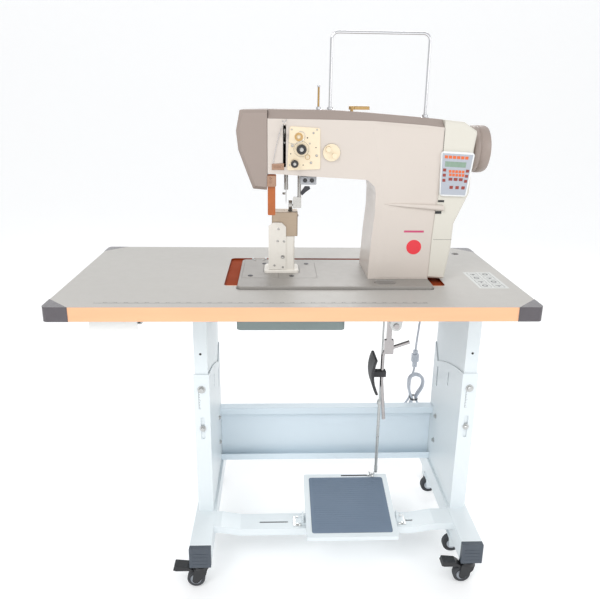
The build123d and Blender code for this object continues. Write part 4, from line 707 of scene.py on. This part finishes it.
# the pillar's front stands a little proud of the arm, with a soft crease on its left
PROUD, CREASE = 1.3, 24
relief_points = (
    (192, 417, 1), (262, 412, 0), (330, 407, 0), (377, 402, 0), (373, 300, 0), (369, 200, 0), (364.5, 115, 0),
    (361, 12, 0), (300, 12, 0), (214, 12, 1), (219, 70, 1), (224, 140, 1), (228, 200, 1), (227, 245, 1), (221, 285, 1),
    (212, 325, 1), (201, 375, 1),
)
bm = bmesh.new()
skin(bm, [
    [bm.verts.new(H(x + soft * CREASE * share, FRONT - rise * PROUD, height)) for x, height, soft in relief_points]
    for share, rise in ((0, -0.2), (0.12, 0.06), (0.35, 0.42), (0.65, 0.82), (0.85, 0.97), (1.0, 1.0))
], cap=True)
add_piece("pillar_relief", bm, "cream", "head", "cream_paint", sharp=50)

# the shelf on the pillar: a wedge that grows towards the right, with two dark slots at its end
bm = bmesh.new()
sections = [
    [
        bm.verts.new(H(x, FRONT + reach if flat else FRONT - proud * reach, height + half * share))
        for flat, reach, share in (
            (1, 0.3, 1), (0, 0.86, 0.72), (0, 1, 0.3), (0, 1, -0.5), (0, 0.8, -0.95), (1, 0.3, -1.25),
        )
    ]
    for x, height, half, proud in (
        (232, 213.5, 0.5, 0.2), (252, 212, 3.0, 3.4), (290, 210, 5.0, 6.6), (330, 208, 6.2, 8.6), (372, 205.5, 7.2, 10),
        (391, 204.5, 7.4, 10),
    )
]
for near, far in zip(sections, sections[1:]):
    for step in range(5):
        bm.faces.new((near[step], far[step], far[step + 1], near[step + 1]))
bm.faces.new(sections[-1])
bm.faces.new(list(reversed(sections[0])))
add_piece("pillar_shelf", bm, "cream", "head", "cream_paint", sharp=50, bevel=0.0006)
on_front("shelf_slots", [
    rectangle(376, 219, 392, 224), rectangle(371, 188, 387, 194.5),
], 1.6, "knob", "knob_black", 0.4, 0.0003)
on_front("red_disc", [disc(320, 97, 20, 64)], 0.3, "label_red", "cream_paint", PROUD)
on_front("rose_strip", [rectangle(291, 137, 344, 142.5)], 0.25, "label_rose", "cream_paint", PROUD)

# seam between casting and right cover, and the lower cover's own seam
on_front("cover_seam", [rectangle(379.2, 350, 379.9, 408)], 0.2, "shadow", "dark_steel")
on_front("cover_split", [rectangle(371, 117.6, 421, 118.2)], 0.2, "shadow", "dark_steel")

# ---- control panel
PANEL_FACE = -98
CORNERS = ((379, 240), (444, 238), (456, 342), (376, 346))


def on_panel(s, t):
    """A place on the panel, s from left to right and t from bottom to top, as (x, height)."""
    (x0, z0), (x1, z1), (x2, z2), (x3, z3) = CORNERS
    return (
        (1 - s) * (1 - t) * x0 + s * (1 - t) * x1 + s * t * x2 + (1 - s) * t * x3,
        (1 - s) * (1 - t) * z0 + s * (1 - t) * z1 + s * t * z2 + (1 - s) * t * z3,
    )


def panel_shape(s, t, width, height):
    return [on_panel(s + a * width / 2, t + b * height / 2) for a, b in ((-1, -1), (1, -1), (1, 1), (-1, 1))]


LIFT = FRONT - PANEL_FACE


def panel_keys(name, places, material):
    """Raised keys, each given as (s, t, width, height) on the panel."""
    on_front(name, [panel_shape(*place) for place in places], 0.7, material, "panel_gray", LIFT + 0.2, 0.0002)


on_front("panel_film", [[on_panel(0, 0), on_panel(1, 0), on_panel(1, 1), on_panel(0, 1)]], 0.35, "panel",
         "panel_gray", LIFT)
on_front("panel_screen", [panel_shape(0.46, 0.745, 0.72, 0.13)], 0.5, "screen", "panel_gray", LIFT + 0.1, 0.0002)
panel_keys("panel_top_keys", [(0.13 + 0.135 * k, 0.915, 0.105, 0.07) for k in range(6)], "key_orange")
panel_keys("panel_middle_keys", [
    (0.30 + 0.115 * k + 0.02 * row, 0.575 - 0.085 * row, 0.09, 0.065) for k in range(5) for row in range(2)
], "key_orange")
panel_keys("panel_red_keys", [
    *[(s, 0.60 - 0.125 * row, 0.11, 0.07) for s in (0.10, 0.91) for row in range(3)],
    *[(0.34 + 0.19 * k, 0.385, 0.14, 0.07) for k in range(3)],
    *[(0.40 + 0.23 * k, 0.185, 0.13, 0.075) for k in range(3)],
], "key_red")


# ---- thread path on the front

def coil_spring(name, place, radius, wire_radius, turns=2, length=0.0018, steps=10):
    side, up = frame_along(AHEAD)
    points = []
    for step in range(turns * steps + 1):
        turn = 2 * math.pi * step / steps
        around = radius * (math.cos(turn) * side + math.sin(turn) * up)
        points.append(place + Vector(AHEAD) * (length * step / (turns * steps)) + around)
    return wire(name, points, wire_radius, "chrome", "head")


def thread_wire(name, places, radius):
    return wire(name, [H(*place) for place in places], radius, "chrome", "head")


def knurled(name, node, place, radius, length=0.0155, sides=60):
    """A knurled cap knob with a metal nut in its face, in place of a CAD node on the body of the same name."""
    side, up = frame_along(AHEAD)
    axis = Vector(AHEAD)
    bm = bmesh.new()
    rings = []
    for height, scale, teeth in (
        (0, 0.80, 0), (0.0, 0.94, 1), (0.08, 1.0, 1), (0.78, 1.0, 1), (0.90, 0.93, 0.6), (1.0, 0.82, 0),
        (1.0, 0.56, 0), (0.90, 0.50, 0),
    ):
        rings.append([])
        for step in range(sides):
            turn = 2 * math.pi * step / sides
            reach = radius * (scale - (0.055 * teeth if step % 2 else 0))
            around = reach * (math.cos(turn) * side + math.sin(turn) * up)
            rings[-1].append(bm.verts.new(place + axis * (length * height) + around))
    skin(bm, rings, cap=True)
    bm.faces.new(list(reversed(rings[0])))
    knob = add_piece(name, bm, "knob", node, "knob_black", sharp=40)
    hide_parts(node)
    turned(name + "_nut", [place + axis * length * 0.88], axis, [
        (0, 0), (radius * 0.40, 0), (radius * 0.40, length * 0.10), (radius * 0.32, length * 0.12), (0, length * 0.12),
    ], 32, "steel", node, "knob_black")


knurled("upper_tension_knob", "tension_knob_upper", H(15, -98.2, 352), 0.013)
knurled("lower_tension_knob", "tension_knob_lower", H(-2, -98.2, 316), 0.010)
coil_spring("upper_tension_spring", H(15, -96.2, 352), 0.0105, 0.0007)
coil_spring("lower_tension_spring", H(-2, -96.2, 316), 0.0085, 0.0006)

PLATE_FACE = FRONT - 3
bm = bmesh.new()
for x, height, radius in (
    (45, 392, 2.6), (36, 366, 2), (54, 336, 3.2), (-8, 360, 3.6), (-14, 312, 2.4), (40, 318, 3.2), (-10, 400, 2.2),
    (54, 400, 2.2),
):
    screw_head(bm, H(x, PLATE_FACE, height), AHEAD, radius * MM, 0.0014)
add_piece("tension_plate_screws", bm, "steel", "head", "bright_steel")
bm = bmesh.new()
for x, height, inner, outer, thick in (
    (8, 382, 0.0052, 0.0105, 0.0016), (15, 352, 0.0135, 0.0165, 0.0006), (31, 332, 0.0052, 0.0066, 0.0005),
    (92, 344, 0.0185, 0.0212, 0.0008),
):
    ring(bm, H(x, PLATE_FACE, height), AHEAD, inner, outer, thick)
for x, height, radius in ((84, 352, 7.5), (100, 336, 7.0)):
    ring(bm, H(x, FRONT - 6.2, height), AHEAD, radius * MM * 0.55, radius * MM, 0.0009, 36)
add_piece("tension_plate_rings", bm, "brass", "head", "gold_plate")
bm = bmesh.new()
for x, lift, height, radius in ((15, 2.9, 352, 19.5), (92, 0.2, 344, 22.4)):
    ring(bm, H(x, FRONT - lift, height), AHEAD, (radius - 0.5) * MM, radius * MM, 0.0003, 64)
# the dark steel discs below stand in for the plate's small holes: painted shade for the shadow inside them
for x, height, radius in (
    (78, 360, 1.6), (104, 352, 1.6), (80, 332, 1.6), (92, 327, 1.4), (30, 380, 1.8), (-12, 340, 1.5), (52, 356, 1.5),
    (20, 312, 1.5),
):
    hole = radius * MM
    lathe(bm, H(x, PLATE_FACE, height), AHEAD, [(0, 0), (hole, 0), (hole, 0.0002), (0, 0.0002)], 20)
add_piece("tension_plate_lines_and_hole_shade", bm, "dark_steel", "head", "dark_steel")
thread_wire("check_spring", [
    (8, -93.4, 396), (20, -94.4, 396), (26, -94.4, 386), (22, -94.4, 374), (8, -94.4, 368), (-4, -94.8, 362),
    (-17, -95.5, 368),
], 0.0006)

# guide bracket on the left of the slot, and the wire that leads down to it
bm = bmesh.new()
outline = [(x * MM, z * MM) for x, z in ((-60, 299), (-29, 299), (-29, 316), (-60, 314))]
prism(bm, outline, H(0, FRONT, 0), RIGHT, UP, 0.0022)
for x in (-52, -44, -36):
    ring(bm, H(x, FRONT - 2.2, 307), AHEAD, 0.0020, 0.0036, 0.0016, 28)
add_piece("thread_guide_plate", bm, "copper", "head", "chrome", bevel=0.0004)
thread_wire("thread_guide_wire", [
    (-57, -93, 316), (-52, -93.6, 345), (-44, -93.8, 380), (-37, -93.6, 404), (-33, -93, 412),
], 0.0007)
on_front("take_up_slot_lip", [
    rectangle(-31.6, 306, -30.2, 412), rectangle(-25.6, 306, -24.4, 412),
], 0.6, "shadow", "dark_steel")
thread_wire("top_thread_guide", [
    (-34, -86, 424), (-34, -98, 420), (-30, -101, 414), (-25, -98, 420), (-22, -86, 426),
], 0.0010)

# collars where the loop's legs and the guide pin enter the top cover
bm = bmesh.new()
for x, height, radius in ((90, 447, 8), (340, 431, 8), (60, 447, 6.5)):
    lathe(bm, H(x, -30, height - 2), UP, [(radius * MM * share, rise) for share, rise in (
        (0.5, 0), (1.3, 0), (1.3, 0.003), (1, 0.0042), (1, 0.009), (0.8, 0.0105), (0.5, 0.0105),
    )], 40)
add_piece("loop_collars", bm, "chrome", "head", "chrome")
turned("guide_pin_sleeve", [H(60, -30, 452)], UP, [
    (0.0020, 0.003), (0.00268, 0.003), (0.00268, 0.052), (0.0020, 0.052),
], 28, "brass", "head", "gold_plate")
screws("top_cover_screws", [
    H(*place) for place in ((-30, -60, 438), (5, -72, 433), (263.6, -60, 434), (360, -60, 425))
], (0, -0.5, 0.86), 0.0035, 0.0016)

# copper bracket and its rivets over the amber guard
bm = bmesh.new()
block(bm, H(-72, -91.2, 256), H(-50, -89.8, 284))
for height in (277, 268):
    screw_head(bm, H(-64, -91.2, height), AHEAD, 0.0032, 0.0015)
add_piece("finger_guard_bracket", bm, "copper", "head", "copper", bevel=0.0005)
bm = bmesh.new()
for x in (26, 44):
    ring(bm, H(x, -78.0, 271), AHEAD, 0.0072, 0.0090, 0.0012, 36)
add_piece("button_rings", bm, "switch", "head", "switch_gray")
turned("needle_clamp_screw", [H(-22, 0, 225)], LEFT, [
    (0, 0.002), (0.0030, 0.002), (0.0030, 0.009), (0.0022, 0.0102), (0, 0.0102),
], 24, "steel", "needle_bar", "bright_steel")

# ---- handwheel
wheel_low, wheel_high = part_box("handwheel")
WHEEL_R, WHEEL_Z = (wheel_high.z - wheel_low.z) / 2, (wheel_low.z + wheel_high.z) / 2
span = wheel_high.x - wheel_low.x
handwheel = turned("handwheel_rim", [(wheel_low.x, 0, WHEEL_Z)], RIGHT, [
    (WHEEL_R * share, along) for share, along in (
        (0, 0.001), (0.55, 0.0), (0.86, 0.002), (0.97, 0.006), (1, 0.012), (0.985, 0.018), (0.955, 0.021),
        (0.985, 0.024), (1, 0.030), (0.985, span - 0.010), (0.94, span - 0.004), (0.86, span - 0.002),
        (0.80, span - 0.006), (0.55, span - 0.010), (0.36, span - 0.010), (0.33, span - 0.001), (0.28, span), (0, span),
    )
], 96, "taupe", "main_shaft", "taupe_cover", sharp=28)
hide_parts("handwheel")
GRIP_TEETH = 60
bm = bmesh.new()
for step in range(GRIP_TEETH):
    turn = 2 * math.pi * step / GRIP_TEETH
    direction = Vector((0, math.cos(turn), math.sin(turn)))
    across = Vector((0, -math.sin(turn), math.cos(turn)))
    origin = Vector((wheel_low.x + 0.032, 0, WHEEL_Z)) + direction * (WHEEL_R * 0.978) - across * 0.0010
    prism(bm, [(0, 0), (0.0020, 0), (0.0017, 0.0009), (0.0003, 0.0009)], origin, across, direction, 0.009)
add_piece("handwheel_grip", bm, "taupe", "main_shaft", "taupe_cover")
screws("handwheel_screw", [(wheel_high.x - 0.0016, 0, WHEEL_Z)], RIGHT, 0.007, 0.0016, body="main_shaft", kind="socket")

# ---- rear and ends of the head
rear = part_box("arm_casting")[1].y / MM
bm = bmesh.new()
for x0, z0, x1, z1 in ((-50, 300, 150, 410), (226, 60, 350, 380)):
    outline = [(u * MM, v * MM) for u, v in rounded(x1 - x0, z1 - z0, 9, 6)]
    prism(bm, outline, H((x0 + x1) / 2, rear + 1.6, (z0 + z1) / 2), RIGHT, UP, 0.0019)
add_piece("rear_covers", bm, "cream", "head", "cream_paint", bevel=0.0006)
screws("rear_cover_screws", [
    H(x, rear + 1.5, height)
    for x, height in ((-41, 309), (141, 309), (-41, 401), (141, 401), (235, 69), (341, 69), (235, 371), (341, 371))
], BACK, 0.0040, 0.0018)
cover_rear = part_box("right_cover")[1].y / MM
plates("motor_vents", [
    (H(395, cover_rear - 0.2, 250 + 9 * step), H(440, cover_rear + 0.4, 253.5 + 9 * step)) for step in range(9)
], "shadow", "head", "ivory_cover")
screws("right_cover_screws", [
    H(x, cover_rear - 0.2, height) for x, height in ((392, 400), (392, 40), (448, 395))
], BACK, 0.0035, 0.0016)
face_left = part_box("face_cover")[0].x / MM
screws("face_cover_screws", [H(face_left + 0.5, y, 393.5) for y in (-50, 45)], LEFT, 0.0045, 0.0014)
bed_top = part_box("bed")[1].z
screws("hinge_screws", [
    (x + shift, 0.104, bed_top - 0.0002) for x in (-0.100, 0.300) for shift in (-0.014, 0.014)
], UP, 0.0038, 0.002, "zinc")

# hubs in both faces of the rear and the transport wheels
for node, axis in (("rear_wheels", 0), ("transport_wheels", 1)):
    low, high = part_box(node)
    radius = (high.z - low.z) / 2
    across = [vertex.co[axis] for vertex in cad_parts[node].data.vertices]
    middle = (min(across) + max(across)) / 2
    bm = bmesh.new()
    for group in ([a for a in across if a < middle], [a for a in across if a >= middle]):
        for edge, sign in ((min(group), -1), (max(group), 1)):
            place = (low + high) / 2
            place[axis] = edge - sign * 0.0002
            lathe(bm, place, Vector((RIGHT, BACK)[axis]) * sign, [
                (0, 0), (radius * 0.55, 0), (radius * 0.55, 0.0008), (radius * 0.26, 0.0008), (radius * 0.22, 0.0020),
                (0, 0.0020),
            ], 40)
    add_piece(node + "_hubs", bm, "hub", node, "caster_black")

# ---- stand
LEG_CENTRES = (-0.2554, 0.4972)
SCALE_FACE, SCALE_LIFT = -0.1310, 0.00025
boxes = []
for centre in LEG_CENTRES:
    for step in range(11):
        z = 0.481 + 0.005 * step
        wide = 0.006 if step % 5 == 0 else 0.0035
        boxes.append((
            (centre - 0.0085, SCALE_FACE - SCALE_LIFT, z), (centre - 0.0085 + wide, SCALE_FACE, z + 0.0006),
        ))
    boxes.append(((centre - 0.0090, SCALE_FACE - SCALE_LIFT, 0.480), (centre - 0.0083, SCALE_FACE, 0.5325)))
plates("leg_scales", boxes, "ink", "stand", "stand_white")
turned("upper_leg_holes", [(centre, -0.1272, 0.646) for centre in LEG_CENTRES], AHEAD, [
    (0, 0), (0.0034, 0), (0.0034, 0.0006), (0, 0.0006),
], 24, "shadow", "table", "dark_steel")

# the treadle's mat, rear slot and knob, made in the treadle's own plane
TILT = math.radians(10)
T_ORIGIN, T_U, T_V = P(0, -165, 158), Vector(RIGHT), Vector((0, math.cos(TILT), math.sin(TILT)))
T_N = T_U.cross(T_V)


def on_treadle(u, v, rise):
    """A place on the treadle, across it, along it and above it."""
    return T_ORIGIN + T_U * u + T_V * v + T_N * rise


MAT_U, MAT_V = 0.168, 0.028
outline = rounded(0.2292, 0.2072, 0.0065, 6)
bm = bmesh.new()
skin(bm, [
    [bm.verts.new(on_treadle(MAT_U + u * share, MAT_V + v * share, rise)) for u, v in outline]
    for share, rise in ((1, 0.0030), (1, 0.0046), (0.994, 0.0050))
], cap=True)
RIB = [(-0.105, -0.0012), (0.105, -0.0012), (0.105, 0.0012), (-0.105, 0.0012)]
for row in range(-12, 13):
    prism(bm, RIB, on_treadle(MAT_U, MAT_V + row * 0.0078, 0.0049), T_U, T_V, 0.0005)
add_piece("treadle_mat", bm, "mat", "treadle", "slate_cap", sharp=40)
bm = bmesh.new()
prism(bm, [(0, 0), (0.088, 0), (0.088, 0.0045), (0, 0.0045)], on_treadle(0.155, 0.1375, 0.0041), T_U, T_V, 0.0002)
add_piece("treadle_rear_slot", bm, "shadow", "treadle", "dark_steel")
WING = [(0.003, -0.002), (0.0125, -0.0028), (0.0135, 0), (0.0125, 0.0028), (0.003, 0.002)]
knob_place = on_treadle(0.249, 0.142, 0.006)
bm = bmesh.new()
lathe(bm, knob_place - T_N * 0.002, T_N, [(0, 0), (0.005, 0), (0.005, 0.008), (0.003, 0.010), (0, 0.010)], 24)
for turn in range(4):
    angle = math.pi / 2 * turn + 0.4
    direction = T_U * math.cos(angle) + T_V * math.sin(angle)
    prism(bm, WING, knob_place, direction, T_N.cross(direction), 0.003)
add_piece("treadle_wing_knob", bm, "zinc", "treadle", "zinc_steel", bevel=0.0004)

# dark strips under the treadle bar's two slots: painted shade standing in for the shadow inside them
plates("bar_slot_painted_shade", [
    (P(x - 43, -171.4, 126.0), P(x + 43, -164.6, 127.2)) for x in (-55, 326)
], "shadow", "stand", "dark_steel")

# ball stud on the treadle, and the pitman rod's clamp collar
rod_low, rod_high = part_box("pitman_rod_lower")
rod_x, rod_y = (rod_low.x + rod_high.x) / 2, (rod_low.y + rod_high.y) / 2
turned("treadle_ball_stud", [(rod_x, rod_y, 0.1825)], UP, [
    (0, 0), (0.0055, 0), (0.0055, 0.0025), (0.0022, 0.003), (0.0022, rod_low.z - 0.1835), (0, rod_low.z - 0.1825),
], 24, "zinc", "treadle", "zinc_steel")
bm = bmesh.new()
ring(bm, (rod_x, rod_y, rod_high.z - 0.016), UP, 0.0044, 0.0078, 0.013, 32)
screw_head(bm, (rod_x + 0.0072, rod_y, rod_high.z - 0.0095), RIGHT, 0.0032, 0.007, "hex")
add_piece("pitman_collar", bm, "zinc", "pitman_lower", "zinc_steel", bevel=0.0004)

# clamp brackets that hold the treadle's pivots to its bar
bm = bmesh.new()
for x0, x1 in ((2, 26), (310, 332)):
    block(bm, P(x0, -187, 130.2), P(x1, -145, 131.6))
    for y in (-181, -151):
        screw_head(bm, P((x0 + x1) / 2, y, 131.6), UP, 0.0042, kind="hex")
add_piece("treadle_clamps", bm, "zinc", "stand", "zinc_steel", bevel=0.0003)

# caster tyres and hubs
for side in ("left", "right"):
    wheel = "caster_wheel_" + side
    low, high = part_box(wheel)
    radius, width = (high.z - low.z) / 2, high.y - low.y
    place = ((low.x + high.x) / 2, low.y, (low.z + high.z) / 2)
    tyre = turned("caster_tyre_" + side, [place], BACK, [(radius * share, along) for share, along in (
        (0.62, 0.0005), (0.90, 0), (0.985, width * 0.12), (1, width * 0.3), (1, width * 0.7), (0.985, width * 0.88),
        (0.90, width), (0.62, width - 0.0005),
    )], 64, "tyre", wheel, "tyre_dark")
    half = [(0, 0.0015), (0.20, 0.0015), (0.24, 0.0035), (0.52, 0.0035), (0.62, 0.0006), (0.64, 0.0006)]
    half += [(share, width - along) for share, along in reversed(half)]
    turned("caster_hub_" + side, [place], BACK, [
        (radius * share, along) for share, along in half
    ], 64, "hub", wheel, "caster_black")
    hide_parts(wheel)

# end cap ribs and the screws of the upper legs' plates
plates("end_cap_ribs", [
    (P(x - 22, -288.6, 90 + 11 * step), P(x + 22, -287.9, 92 + 11 * step)) for x in (-255.4, 497.2) for step in range(4)
], "cap", "stand", "slate_cap", 0.0002)
screws("leg_plate_screws", [
    P(x, y, 803) for x in (-281, -233, 475, 523) for y in (-120, 150)
], DOWN, 0.005, None, "zinc", "table", "zinc_steel", "hex")

# ---- oil pan, drawer, control box and knee lifter
pan_low, pan_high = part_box("oil_pan")
bm = bmesh.new()
lathe(bm, (pan_low.x + 0.07, -0.02, pan_low.z + 0.0002), DOWN, [
    (0, 0), (0.013, 0), (0.013, 0.002), (0.009, 0.003), (0.009, 0.007), (0, 0.007),
], 32)
block(
    bm, (pan_low.x + 0.0005, pan_low.y - 0.0012, pan_high.z - 0.006),
    (pan_high.x - 0.0005, pan_low.y + 0.0002, pan_high.z - 0.001),
)
add_piece("oil_pan_fittings", bm, "pan", "table", "pan_green", bevel=0.0004)
plates("oil_pan_ribs", [
    ((x0, -0.130 + 0.055 * k, pan_low.z - 0.0009), (x1, -0.127 + 0.055 * k, pan_low.z + 0.0002))
    for x0, x1 in ((-0.146, -0.014), (-0.001, 0.126)) for k in range(4)
], "pan", "table", "pan_green", 0.0003)

drawer_low, drawer_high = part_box("drawer")
drawer_mid = ((drawer_low.x + drawer_high.x) / 2, drawer_low.y + 0.0002, drawer_high.z - 0.012)
bm = bmesh.new()
prism(bm, rounded(0.056, 0.010, 0.0045, 6), drawer_mid, RIGHT, UP, 0.0016)
add_piece("drawer_pull", bm, "drawer", "drawer", "drawer_white", bevel=0.0006)

box_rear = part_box("control_box")[1].y
plates("control_box_vents", [
    ((0.215 + 0.012 * step, 0.1232, 0.724), (0.220 + 0.012 * step, 0.1242, 0.786)) for step in range(9)
], "shadow", "table", "box_gray")
plates("control_box_label", [((0.345, 0.1234, 0.735), (0.420, 0.1242, 0.780))], "label", "table", "box_gray")
bm = bmesh.new()
for x in (0.199, 0.431):
    for z in (0.708, 0.798):
        screw_head(bm, (x, 0.1240, z), AHEAD, 0.0035, 0.0016)
for y in (0.134, 0.258):
    for x in (0.20, 0.43):
        screw_head(bm, (x, y, 0.7002), DOWN, 0.0035, 0.0016)
add_piece("control_box_screws", bm, "zinc", "table", "zinc_steel")
plates("control_box_sockets", [
    ((x0, box_rear - 0.0002, z0), (x1, box_rear + proud, z1)) for x0, z0, x1, z1, proud in (
        (0.225, 0.735, 0.250, 0.775, 0.0016), (0.270, 0.728, 0.306, 0.748, 0.0008),
        (0.316, 0.728, 0.352, 0.748, 0.0008), (0.270, 0.760, 0.352, 0.780, 0.0008),
    )
], "knob", "table", "box_gray", 0.0004)
plates("control_box_fins", [
    ((0.370 + 0.0052 * step, box_rear - 0.0002, 0.722), (0.3724 + 0.0052 * step, box_rear + 0.0003, 0.784))
    for step in range(12)
], "shadow", "table", "box_gray")

bm = bmesh.new()
screw_head(bm, P(238, -120, 584), RIGHT, 0.004, 0.014, "hex")
screw_head(bm, P(262, -126, 758), AHEAD, 0.004, 0.003, "hex")
add_piece("knee_clamp_screws", bm, "zinc", "knee_lifter", "zinc_steel")

# plug pins in bare metal
turned("plug_pins", [(x, 0.222, 0.1995) for x in (0.3765, 0.3955)], DOWN, [
    (0, 0), (0.00215, 0), (0.00215, 0.0145), (0.0014, 0.0164), (0, 0.0164),
], 20, "brass", "table", "cord_gray")
